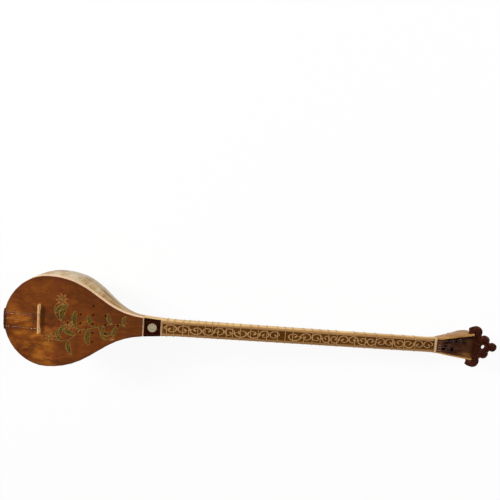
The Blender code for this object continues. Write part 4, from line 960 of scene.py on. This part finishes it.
def carver_strokes():
    half = [
        spiral(CURL_MIDDLE, 7.2, 1.0, 1.7, 200.0),
        spiral(CURL_MIDDLE, 9.0, 7.6, 0.42, -75.0),
        spiral(MIDDLE_LOBE, 6.0, 0.8, -1.5, -60.0),
        spiral((35.1, 0.0), 37.0, 36.6, 0.085, 1.0),
        spiral((35.1, 0.0), 40.5, 38.0, 0.075, 4.0),
        spiral((78.0, 21.5), 13.0, 9.5, 0.16, 215.0),
        spiral((90.0, 3.5), 6.5, 5.0, -0.3, 60.0),
        spiral((58.6, 30.5), 2.4, 0.8, 1.0, 60.0),
    ]
    whole = [spiral((HOLE_X, 0.0), 8.6, 8.6, 1.0, 0.0), spiral((TIP_LOBE_X, 0.0), 4.7, 4.7, 1.0, 0.0),
             spiral((TIP_LOBE_X, 0.0), 1.6, 1.6, 1.0, 0.0, steps=20)]
    return half + [[(x, -y) for x, y in path] for path in half] + whole


def smooth_step(low, high, value):
    t = min(1.0, max(0.0, (value - low) / (high - low)))
    return t * t * (3 - 2 * t)


def nearest_finder(paths, spacing=0.25):
    dense = []
    for path in paths:
        for (x0, y0), (x1, y1) in zip(path, path[1:]):
            steps = max(1, int(math.dist((x0, y0), (x1, y1)) / spacing))
            dense += [(x0 + (x1 - x0) * i / steps, y0 + (y1 - y0) * i / steps, 0.0) for i in range(steps)]
    tree = KDTree(len(dense))
    for index, place in enumerate(dense):
        tree.insert(place, index)
    tree.balance()
    return tree


def crest_border(mesh, to_head):
    """The crest's own outline and hole, from the sharp edges between its front and its sides."""
    shape = bmesh.new()
    shape.from_mesh(mesh)
    shape.transform(to_head)
    shape.normal_update()
    paths = []
    for edge in shape.edges:
        a, b = (v.co for v in edge.verts)
        if abs(a.z - b.z) < 0.05 and a.z > CREST_FRONT - 0.2 and len(edge.link_faces) == 2:
            ups = sorted(face.normal.z for face in edge.link_faces)
            if ups[1] > 0.97 and ups[0] < 0.9:
                paths.append([(a.x, a.y), (b.x, b.y)])
    shape.free()
    return paths


def welded(mesh):
    """The frame's faces come apart; this joins them again at their shared corners."""
    shape = bmesh.new()
    shape.from_mesh(mesh)
    bmesh.ops.remove_doubles(shape, verts=shape.verts, dist=WELD_DISTANCE)
    shape.to_mesh(mesh)
    shape.free()
    return mesh


def make_crest():
    to_head = HEAD.inverted()
    mesh = welded(frame["nodes"]["crest"].data.copy())
    border = nearest_finder(crest_border(mesh, to_head))
    carved = bpy.data.objects.new("carved_crest", mesh)
    bpy.context.scene.collection.objects.link(carved)
    remesh = carved.modifiers.new("fine", "REMESH")
    remesh.mode = "VOXEL"
    remesh.voxel_size = CREST_VOXEL * MM
    carved = applied(carved, CREST_WOOD)
    strokes = nearest_finder(carver_strokes())
    groove_shade = [0.0] * len(carved.data.vertices)
    for vertex in carved.data.vertices:
        place = to_head @ vertex.co
        on_front = smooth_step(CREST_FRONT - 3.0, CREST_FRONT - 0.6, place.z)
        if on_front > 0.0:
            flat = (place.x, place.y, 0.0)
            from_stroke = strokes.find(flat)[2]
            from_edge = border.find(flat)[2]
            # This value is painted shade: it darkens the crest's colour in the carved grooves.
            groove_shade[vertex.index] = on_front * (1 - smooth_step(0.0, GROOVE_WIDTH, from_stroke))
            drop = GROOVE_DEPTH * (1 - smooth_step(0.0, GROOVE_WIDTH, from_stroke))
            drop += EDGE_DROP * (1 - smooth_step(0.0, EDGE_ROUNDING, from_edge))
            place.z -= on_front * drop
            vertex.co = HEAD @ place
    carved.data.attributes.new("cut", "FLOAT", "POINT").data.foreach_set("value", groove_shade)
    carved.data.shade_smooth()
    return keep(carved, "instrument", "crest_wood", ["crest"])


crest = make_crest()
print("crest faces:", len(crest.data.polygons))

# %% [markdown]
# ## Frets of wound gut
# Each fret is a few turns of gut side by side round the neck, with a knot at its side. A
# Geometry Nodes tree repeats one loop the given number of times along the neck and gives it its
# thickness, so every fret only brings its own loop.

# %% Geometry Nodes tree for a fret
def start_geometry_tree(name, inputs):
    tree = bpy.data.node_groups.new(name, "GeometryNodeTree")
    tree.interface.new_socket("Geometry", in_out="INPUT", socket_type="NodeSocketGeometry")
    for label, kind, value in inputs:
        socket = tree.interface.new_socket(label, in_out="INPUT", socket_type="NodeSocket" + kind)
        if value is not None:
            socket.default_value = value
    tree.interface.new_socket("Geometry", in_out="OUTPUT", socket_type="NodeSocketGeometry")
    entry = tree.nodes.new("NodeGroupInput")
    leave = tree.nodes.new("NodeGroupOutput")
    return tree, entry, leave


def make_gut_tree():
    tree, entry, leave = start_geometry_tree("wound_gut", (
        ("Turns", "Int", 3), ("Step", "Vector", None), ("Radius", "Float", 0.0003), ("Gut", "Material", None)))
    places = tree.nodes.new("GeometryNodeMeshLine")
    places.mode = "OFFSET"
    tree.links.new(entry.outputs["Turns"], places.inputs["Count"])
    tree.links.new(entry.outputs["Step"], places.inputs["Offset"])
    centre = tree.nodes.new("ShaderNodeVectorMath")
    centre.operation = "SCALE"
    tree.links.new(entry.outputs["Step"], centre.inputs[0])
    half = tree.nodes.new("ShaderNodeMath")
    half.operation = "MULTIPLY_ADD"
    tree.links.new(entry.outputs["Turns"], half.inputs[0])
    half.inputs[1].default_value = -0.5
    half.inputs[2].default_value = 0.5
    tree.links.new(half.outputs[0], centre.inputs["Scale"])
    tree.links.new(centre.outputs[0], places.inputs["Start Location"])
    curve = tree.nodes.new("GeometryNodeMeshToCurve")
    tree.links.new(entry.outputs["Geometry"], curve.inputs[0])
    copies = tree.nodes.new("GeometryNodeInstanceOnPoints")
    tree.links.new(places.outputs[0], copies.inputs["Points"])
    tree.links.new(curve.outputs[0], copies.inputs["Instance"])
    real = tree.nodes.new("GeometryNodeRealizeInstances")
    tree.links.new(copies.outputs[0], real.inputs[0])
    profile = tree.nodes.new("GeometryNodeCurvePrimitiveCircle")
    profile.inputs["Resolution"].default_value = 8
    tree.links.new(entry.outputs["Radius"], profile.inputs["Radius"])
    tube = tree.nodes.new("GeometryNodeCurveToMesh")
    tree.links.new(real.outputs[0], tube.inputs["Curve"])
    tree.links.new(profile.outputs[0], tube.inputs["Profile Curve"])
    coloured = tree.nodes.new("GeometryNodeSetMaterial")
    tree.links.new(tube.outputs[0], coloured.inputs["Geometry"])
    tree.links.new(entry.outputs["Gut"], coloured.inputs["Material"])
    tree.links.new(coloured.outputs[0], leave.inputs[0])
    return tree


def with_tree(piece, tree, **values):
    """Puts a Geometry Nodes tree on an object and sets its named inputs."""
    modifier = piece.modifiers.new(tree.name, "NODES")
    modifier.node_group = tree
    for item in tree.interface.items_tree:
        if item.in_out == "INPUT" and item.name in values:
            modifier[item.identifier] = values[item.name]
    return piece


GUT_TREE = make_gut_tree()
print("tree:", GUT_TREE.name)

# %% [markdown]
# The pitch of each fret above the open string gives its place: the string's length halves with
# every 1200 cents. The loop runs at a little distance round the neck, as thick as the neck is where
# the fret's slide ends, and the knot sits on the side of the bass string.

# %% Frets
FRET_CENTS = (
    90, 142, 200, 285, 343, 400, 504, 554, 605, 656, 714, 788, 842, 898,
    978, 1048, 1108, 1196, 1266, 1322, 1402, 1460, 1534, 1612, 1714, 1786, 1898, 1994,
)
STRING_LENGTH = 650.0
GUT_RADIUS, GUT_STEP, GUT_TURNS = 0.19, 0.38, 3
GUT_CENTRE = 0.32
LOOP_FACETS = 26
KNOT_SIZE = (1.2, 0.6, 1.2)
FRET_REACH = 3.6


def gut_loop(x):
    half_width, depth = neck_size(x - FRET_REACH)
    angles = [math.pi * i / LOOP_FACETS for i in range(LOOP_FACETS + 1)]
    around = [superellipse(half_width + GUT_CENTRE, depth + GUT_CENTRE, neck_roundness(x), a) for a in angles]
    top = [(-half_width * t, GUT_CENTRE) for t in (0.98, 0.5, 0.0, -0.5, -0.98)]
    return [(x, y, z) for y, z in around[:-1] + around[-1:] + top]


def make_fret(number, cents):
    x = STRING_LENGTH * 2 ** (-cents / 1200)
    loop = gut_loop(x)
    mesh = bpy.data.meshes.new("gut_fret_%02d" % number)
    edges = [(i, (i + 1) % len(loop)) for i in range(len(loop))]
    mesh.from_pydata([INSTRUMENT @ Vector(p) for p in loop], edges, [])
    fret = bpy.data.objects.new(mesh.name, mesh)
    bpy.context.scene.collection.objects.link(fret)
    step = INSTRUMENT.to_3x3() @ Vector((GUT_STEP, 0, 0))
    with_tree(fret, GUT_TREE, Turns=GUT_TURNS, Step=tuple(step), Radius=GUT_RADIUS * MM, Gut=GUT)
    fret = applied(fret)
    shape = bmesh.new()
    shape.from_mesh(fret.data)
    half_width = neck_size(x - FRET_REACH)[0]
    size = Matrix.Diagonal((*[s / 2 for s in KNOT_SIZE], 1.0))
    at_side = Matrix.Translation((x + 0.3, half_width + GUT_CENTRE + 0.15, -3.2))
    bmesh.ops.create_icosphere(shape, subdivisions=2, radius=1.0, matrix=INSTRUMENT @ at_side @ size)
    shape.to_mesh(fret.data)
    shape.free()
    fret.data.materials.clear()
    fret.data.materials.append(GUT)
    fret.data.shade_smooth()
    name = "fret_%02d" % number
    return keep(fret, name, "gut", [name])


for number, cents in enumerate(FRET_CENTS, start=1):
    fret = make_fret(number, cents)
print("frets:", len(FRET_CENTS), "with", len(fret.data.polygons), "faces each")

# %% [markdown]
# ## Inlay and paint
# Both are thin strips that follow a path, a little proud of the wood so that they take light of
# their own. Each strip is closed, with a width of its own at every point, so it also makes
# leaves and petals.

# %% Strips along a path
class Strips:
    """Gathers closed flat strips into one mesh."""

    def __init__(self, low, high):
        self.low, self.high = low, high
        self.points, self.faces = [], []

    def strip(self, path, widths):
        start = len(self.points)
        last = len(path) - 1
        for i, ((x, y), width) in enumerate(zip(path, widths)):
            (x0, y0), (x1, y1) = path[max(i - 1, 0)], path[min(i + 1, last)]
            length = math.dist((x0, y0), (x1, y1)) or 1.0
            nx, ny = -(y1 - y0) / length * width / 2, (x1 - x0) / length * width / 2
            for side, z in ((1, self.high), (-1, self.high), (-1, self.low), (1, self.low)):
                self.points.append((x + nx * side, y + ny * side, z))
        for i in range(last):
            a, b = start + 4 * i, start + 4 * i + 4
            self.faces += [(a + k, a + (k + 1) % 4, b + (k + 1) % 4, b + k) for k in range(4)]
        end = start + 4 * last
        self.faces += [(start, start + 1, start + 2, start + 3), (end, end + 1, end + 2, end + 3)]

    def piece(self, name, material, axes=INSTRUMENT):
        return mesh_piece(name, self.points, self.faces, material, axes=axes, smooth_degrees=30.0)


def bezier(p0, p1, p2, p3, steps=14):
    path = []
    for i in range(steps + 1):
        t = i / steps
        weights = ((1 - t) ** 3, 3 * t * (1 - t) ** 2, 3 * t * t * (1 - t), t ** 3)
        path.append(tuple(sum(w * p[k] for w, p in zip(weights, (p0, p1, p2, p3))) for k in (0, 1)))
    return path


def tapered(count, full, least=0.15, power=0.7):
    """Widths that grow from a point and shrink to a point again."""
    return [max(least, full * max(0.0, math.sin(math.pi * i / (count - 1))) ** power) for i in range(count)]


print("strips ready")

# %% [markdown]
# The fingerboard's ornament is a vine of scrolls that runs in waves, over the top of one pair and
# under the bottom of the next. One scroll is drawn once. A second tree sets it on a row of points
# that carry its size and its turn: turned over one axis or the other, it makes its own mirror.

# %% Scrolls of the fingerboard
WAVE_STARTS = (201.5, 243.5, 283.0, 316.0, 357.5, 390.0)
WAVE_STARTS_AFTER_BLANK = (425.5, 461.0, 489.0, 521.0, 551.0, 582.0, 615.0, 647.0)
LONE_SCROLL = (404.5, 425.5)
PANEL_SHARE = 0.62
SCROLL_MARGIN = 1.0
INLAY_WIDTH = 0.19
INLAY_MIDDLE, INLAY_HALF_HEIGHT = 0.035, 0.085
SCROLL_SWEEP, SCROLL_STEPS = 335.0, 34


def draw_scroll():
    """One scroll in a box of half size 1: it starts at the left, goes over the top and curls in to a leaf."""
    path = []
    for i in range(SCROLL_STEPS + 1):
        t = i / SCROLL_STEPS
        radius = 1 - 0.52 * max(0.0, (t - 0.25) / 0.75) ** 1.5
        angle = math.radians(180 - SCROLL_SWEEP * t)
        path.append((radius * math.cos(angle), radius * math.sin(angle)))
    widths = [INLAY_WIDTH * (1 - 0.4 * max(0.0, i / SCROLL_STEPS - 0.5)) for i in range(SCROLL_STEPS + 1)]
    drawn = Strips(-INLAY_HALF_HEIGHT, INLAY_HALF_HEIGHT)
    drawn.strip(path, widths)
    tip = path[-1]
    drawn.strip([tip, (-0.20, -0.02), (-0.02, 0.30)], [INLAY_WIDTH * 0.8, 0.36, 0.03])
    drawn.strip([(-0.93, 0.10), (-0.80, -0.10), (-0.62, -0.20)], [0.05, 0.16, 0.03])
    return drawn.piece("scroll", INLAY_WOOD, axes=Matrix.Identity(4))


def make_row_tree():
    tree, entry, leave = start_geometry_tree("row_of_scrolls", (
        ("Scroll", "Object", None), ("Inlay", "Material", None)))
    source = tree.nodes.new("GeometryNodeObjectInfo")
    tree.links.new(entry.outputs["Scroll"], source.inputs["Object"])
    copies = tree.nodes.new("GeometryNodeInstanceOnPoints")
    tree.links.new(entry.outputs["Geometry"], copies.inputs["Points"])
    tree.links.new(source.outputs["Geometry"], copies.inputs["Instance"])
    for label, target in (("turn", "Rotation"), ("size", "Scale")):
        named = tree.nodes.new("GeometryNodeInputNamedAttribute")
        named.data_type = "FLOAT_VECTOR"
        named.inputs["Name"].default_value = label
        tree.links.new(named.outputs[0], copies.inputs[target])
    real = tree.nodes.new("GeometryNodeRealizeInstances")
    tree.links.new(copies.outputs[0], real.inputs[0])
    coloured = tree.nodes.new("GeometryNodeSetMaterial")
    tree.links.new(real.outputs[0], coloured.inputs["Geometry"])
    tree.links.new(entry.outputs["Inlay"], coloured.inputs["Material"])
    tree.links.new(coloured.outputs[0], leave.inputs[0])
    return tree


def scroll_bays():
    """Start, end, mirrored along, and mirrored across, for each scroll of the vine."""
    bays = []
    for starts, first_is_low in ((WAVE_STARTS, False), (WAVE_STARTS_AFTER_BLANK, False)):
        for index, (start, end) in enumerate(zip(starts, starts[1:])):
            low = (index % 2 == 1) != first_is_low
            middle = (start + end) / 2
            bays += [(start, middle, False, low), (middle, end, True, low)]
    return bays + [(*LONE_SCROLL, True, True)]


def make_scroll_row():
    bays = scroll_bays()
    mesh = bpy.data.meshes.new("scroll_row")
    mesh.from_pydata([((a + b) / 2, 0.0, INLAY_MIDDLE) for a, b, _, _ in bays], [], [])
    sizes, turns = [], []
    for start, end, along, across in bays:
        reach = PANEL_SHARE * neck_size((start + end) / 2)[0] - SCROLL_MARGIN
        sizes += [(end - start) / 2, reach, 1.0]
        turns += [math.pi * across, math.pi * along, 0.0]
    mesh.attributes.new("size", "FLOAT_VECTOR", "POINT").data.foreach_set("vector", sizes)
    mesh.attributes.new("turn", "FLOAT_VECTOR", "POINT").data.foreach_set("vector", turns)
    row = bpy.data.objects.new("scroll_row", mesh)
    bpy.context.scene.collection.objects.link(row)
    scroll = draw_scroll()
    row = applied(with_tree(row, make_row_tree(), Scroll=scroll, Inlay=INLAY_WOOD))
    bpy.data.objects.remove(scroll, do_unlink=True)
    row.data.transform(INSTRUMENT)
    return keep(row, "instrument", "rim_wood")


row = make_scroll_row()
print("scrolls:", len(scroll_bays()), "faces:", len(row.data.polygons))

# %% Joint strips and tuning bead
STRIP_WIDTH = 1.7


def make_joint_strips():
    for name, x in (("joint_strip_bowl_side", JOINT_X + 1.1), ("joint_strip_head_side", FACE_X - 1.1)):
        half_width = neck_size(x)[0] - 0.3
        drawn = Strips(-0.3, 0.14)
        drawn.strip([(x, -half_width), (x, half_width)], [STRIP_WIDTH] * 2)
        keep(drawn.piece(name, STRIP_WOOD), "instrument", "rim_wood")


BEAD_X, BEAD_Y, BEAD_Z = -7.4, -11.2, 6.35


def make_bead():
    """Small metal bead threaded on the thinnest string behind the bridge, for fine tuning."""
    bpy.ops.mesh.primitive_uv_sphere_add(segments=16, ring_count=10, radius=1.0)
    bead = bpy.context.object
    bead.name = "tuning_bead"
    bead.data.name = "tuning_bead"
    bead.data.transform(INSTRUMENT @ Matrix.Translation((BEAD_X, BEAD_Y, BEAD_Z)) @ Matrix.Diagonal((1.5, 0.9, 0.9, 1)))
    bead.data.materials.append(STEEL)
    bead.data.shade_smooth()
    return keep(bead, "instrument", "steel")


make_joint_strips()
make_bead()
print("small trim made")

# %% [markdown]
# The board carries a painted spray. It is a plain pattern of this lesson's own: stems are Bezier
# curves, long curved leaves lie along them, and blossoms end them. A leaf is painted in lanes from
# rose over green to a dark edge, with a comb of fine gold hairs. Strokes stop at the sound holes.

# %% Painted spray
HOLE_ROWS = ((30.0, 1), (15.0, 3), (0.0, 5), (-15.0, 3), (-30.0, 1))
SOUND_HOLES = [(86.2 + (i - (count - 1) / 2) * 20.0, y) for y, count in HOLE_ROWS for i in range(count)]
HOLE_CLEARANCE, EDGE_CLEARANCE = 1.9, 3.0
PAINT_LOW = -0.04
STEMS = (
    ((140.0, -2.0), (112.0, 14.0), (82.0, -22.0), (50.0, -5.0)),
    ((50.0, -5.0), (28.0, 2.0), (14.0, 20.0), (34.0, 36.0)),
    ((66.0, -11.0), (52.0, -32.0), (36.0, -36.0), (20.0, -27.0)),
    ((96.0, -6.0), (98.0, -20.0), (104.0, -26.0), (116.0, -24.0)),
)
LEAVES = (
    (0, 0.04, -1, 18.0, 5.5), (0, 0.12, 1, 26.0, 6.5), (0, 0.26, -1, 20.0, 6.5), (0, 0.40, 1, 28.0, 7.0),
    (0, 0.56, -1, 26.0, 7.0), (0, 0.66, 1, 30.0, 8.0), (0, 0.88, -1, 32.0, 8.0), (1, 0.06, 1, 26.0, 7.0),
    (1, 0.24, -1, 34.0, 9.0), (1, 0.52, -1, 28.0, 8.0), (2, 0.14, -1, 26.0, 7.5), (2, 0.40, 1, 28.0, 7.5),
    (2, 0.66, -1, 22.0, 7.0), (3, 0.20, 1, 22.0, 6.5),
)
BLOSSOMS = (((36.0, 38.0), 9.0, 8), ((17.0, -25.0), 8.0, 7), ((118.0, -23.5), 4.5, 5), ((48.0, -4.0), 8.0, 8))
LANES = 7


def can_paint(place, width):
    """False over a sound hole and near the board's edge."""
    inside = bowl_size(place[0], BOWL_HALF_WIDTH, WIDTH_SHOULDER) - EDGE_CLEARANCE - width / 2
    return abs(place[1]) < inside and all(math.dist(place, hole) > HOLE_CLEARANCE + width / 2 for hole in SOUND_HOLES)


def paint_line(drawn, path, widths):
    """One stroke, broken where it would cross a sound hole or leave the board."""
    run = []
    for place, width in list(zip(path, widths)) + [(None, None)]:
        if place and can_paint(place, width):
            run.append((place, width))
            continue
        if len(run) > 1:
            drawn.strip([p for p, _ in run], [w for _, w in run])
        run = []


def curved(base, heading, length, bend, steps=10):
    reach = length / 3
    ends = [base]
    for part in range(1, 4):
        angle = heading + bend * part / 3
        ends.append((ends[-1][0] + reach * math.cos(angle), ends[-1][1] + reach * math.sin(angle)))
    return bezier(*ends, steps=steps)


def heading_at(path, index):
    (x0, y0), (x1, y1) = path[max(index - 1, 0)], path[min(index + 1, len(path) - 1)]
    return math.atan2(y1 - y0, x1 - x0)


def beside(path, offsets):
    """The path moved to its left by an offset at each point."""
    headings = [heading_at(path, i) for i in range(len(path))]
    return [(x - o * math.sin(h), y + o * math.cos(h)) for (x, y), h, o in zip(path, headings, offsets)]


def paint_leaf(paints, base, heading, length, width, bend):
    shade, green, rose, gold = paints
    path = curved(base, heading, length, bend, steps=26)
    widths = tapered(len(path), width, power=0.8)
    outer = -math.copysign(1.0, bend)
    for lane in range(LANES):
        across = ((lane + 0.5) / LANES - 0.5) * outer
        paint = rose if lane == 0 else shade if lane == LANES - 1 else green
        paint_line(paint, beside(path, [w * across for w in widths]), [w / LANES + 0.05 for w in widths])
    paint_line(gold, path, [0.3] * len(path))
    edge = beside(path, [outer * w * 0.4 for w in widths])
    for i in range(2, len(path) - 2, 2):
        along = heading_at(path, i)
        vein = curved(edge[i], along + outer * 0.9, width * 0.3 + widths[i] * 0.3, -outer * 0.7, steps=6)
        paint_line(gold, vein, [0.8 * (1 - 0.7 * k / 6) for k in range(7)])
        if i % 4 == 0:
            fringe = curved(beside(path, [-outer * w * 0.3 for w in widths])[i], along - outer * 0.8, width * 0.4,
                            outer * 0.6, steps=6)
            paint_line(rose, fringe, [0.8 * (1 - 0.7 * k / 6) for k in range(7)])


def paint_blossom(paints, centre, radius, petals):
    shade, _, rose, gold = paints
    for ring, share in enumerate((1.0, 0.6)):
        for petal in range(petals):
            angle = 2 * math.pi * (petal + ring / 2) / petals
            base = (centre[0] + radius * 0.16 * math.cos(angle), centre[1] + radius * 0.16 * math.sin(angle))
            path = curved(base, angle, radius * share, 0.25)
            paint_line(shade, path, tapered(len(path), radius * share * 0.75, power=0.6))
            paint_line(rose, path, tapered(len(path), radius * share * 0.5, power=0.6))
            paint_line(gold, path[1:9], tapered(8, 0.4))
    eye = spiral(centre, radius * 0.10, radius * 0.12, 1.0, 0.0, steps=12)
    paint_line(gold, eye, [radius * 0.14] * len(eye))


def paint_spray():
    paints = [Strips(PAINT_LOW, high) for high in (0.03, 0.05, 0.07, 0.09)]
    shade, _, _, gold = paints
    stems = [bezier(*knots, steps=50) for knots in STEMS]
    for stem in stems:
        paint_line(shade, stem, [2.4] * len(stem))
        paint_line(gold, stem, [0.8 + 0.2 * math.sin(i) for i in range(len(stem))])
    for number, share, side, length, width in LEAVES:
        index = round(share * 50)
        paint_leaf(paints, stems[number][index], heading_at(stems[number], index) + side * 0.35, length, width,
                   side * 1.5)
    for blossom in BLOSSOMS:
        paint_blossom(paints, *blossom)
    for drawn, name, material in zip(paints, ("spray_shade", "spray_leaves", "spray_petals", "spray_lines"),
                                     (SHADE_PAINT, GREEN_PAINT, ROSE_PAINT, GOLD_PAINT)):
        piece = keep(drawn.piece(name, material), "instrument", "board_wood")
        print(name, len(piece.data.polygons), "faces")


paint_spray()

# %% [markdown]
# ## Dressing the solids
# A solid whose shape is right keeps it and only gets its finish, in its own material slots. Then
# every new piece is tied to the body it moves with, and the solids that it stands for are hidden.

# %% Give each solid its finish
FINISHES = {
    "soundboard": BOARD_WOOD, "rim_band": RIM_WOOD, "tail_block": BLOCK_WOOD, "neck_block": BLOCK_WOOD,
    "tailpiece": TAIL_WOOD, "fingerboard": PANEL_WOOD, "joint_plate": PLATE_WOOD,
    "disc_inlay": BONE, "nut": NUT_BONE, "bridge": BRIDGE_WOOD,
    "string_1": BRASS, "string_2": STEEL, "string_3": BRASS, "string_4": STEEL,
    "peg_1": DARK_WOOD, "peg_2": DARK_WOOD, "peg_3": DARK_WOOD, "peg_4": DARK_WOOD,
}


def finish_node(name, material):
    slots = frame["nodes"][name].data.materials
    if not slots:
        slots.append(material)
    for index in range(len(slots)):
        slots[index] = material


for name, material in FINISHES.items():
    finish_node(name, material)
print("finished solids:", len(FINISHES))

# %% Hand over the new pieces
for piece, body, slot, replaced in PIECES:
    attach(piece, body)
    if replaced:
        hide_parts(*replaced)
print("new pieces:", len(PIECES), "standing for", sum(len(r) for _, _, _, r in PIECES), "solids")

# %% [markdown]
# ## Floor and light
# The photograph has a plain white ground. The floor is white to the camera and in reflections,
# through Light Path, and still takes the instrument's soft shadow.

# %% Floor
def white_floor():
    material, tree, shader = start_material("floor")
    shader.inputs["Base Color"].default_value = (0.86, 0.86, 0.86, 1.0)
    shader.inputs["Roughness"].default_value = 0.9
    path = tree.nodes.new("ShaderNodeLightPath")
    glow = tree.nodes.new("ShaderNodeEmission")
    mix = tree.nodes.new("ShaderNodeMixShader")
    seen = sums(tree, "MAXIMUM", path.outputs["Is Camera Ray"],
                sums(tree, "MAXIMUM", path.outputs["Is Glossy Ray"], path.outputs["Is Transmission Ray"]))
    tree.links.new(sums(tree, "MULTIPLY", seen, 0.93), mix.inputs[0])
    tree.links.new(shader.outputs[0], mix.inputs[1])
    tree.links.new(glow.outputs[0], mix.inputs[2])
    tree.links.new(mix.outputs[0], tree.nodes["Material Output"].inputs["Surface"])
    return material


FLOOR_HALF_SIZE = 6.0
bpy.ops.mesh.primitive_plane_add(size=2 * FLOOR_HALF_SIZE, location=(0, 0, frame_box[0][2] - 0.0005))
floor = bpy.context.object
floor.name = "floor"
floor.data.materials.append(white_floor())
print("floor at", round(floor.location.z, 4))

# %% Light
def area_light(name, place, target, size, power):
    """A square soft light, placed and aimed in the instrument's millimetres."""
    data = bpy.data.lights.new(name, "AREA")
    data.size = size
    data.energy = power
    light = bpy.data.objects.new(name, data)
    bpy.context.scene.collection.objects.link(light)
    light.location = INSTRUMENT @ Vector(place)
    direction = INSTRUMENT @ Vector(target) - light.location
    light.rotation_euler = direction.to_track_quat("-Z", "Y").to_euler()
    return light


area_light("key_light", (-1700, 1100, 1500), (250, 0, 0), 0.9, 72.0)
area_light("head_light", (2400, 900, 1300), (350, 0, 0), 0.9, 42.0)
world = bpy.data.worlds.new("world")
bpy.context.scene.world = world
world.use_nodes = True
world.node_tree.nodes["Background"].inputs["Color"].default_value = (1.0, 1.0, 1.0, 1.0)
world.node_tree.nodes["Background"].inputs["Strength"].default_value = 0.13
bpy.context.scene.view_settings.view_transform = "Standard"
print("lights set")
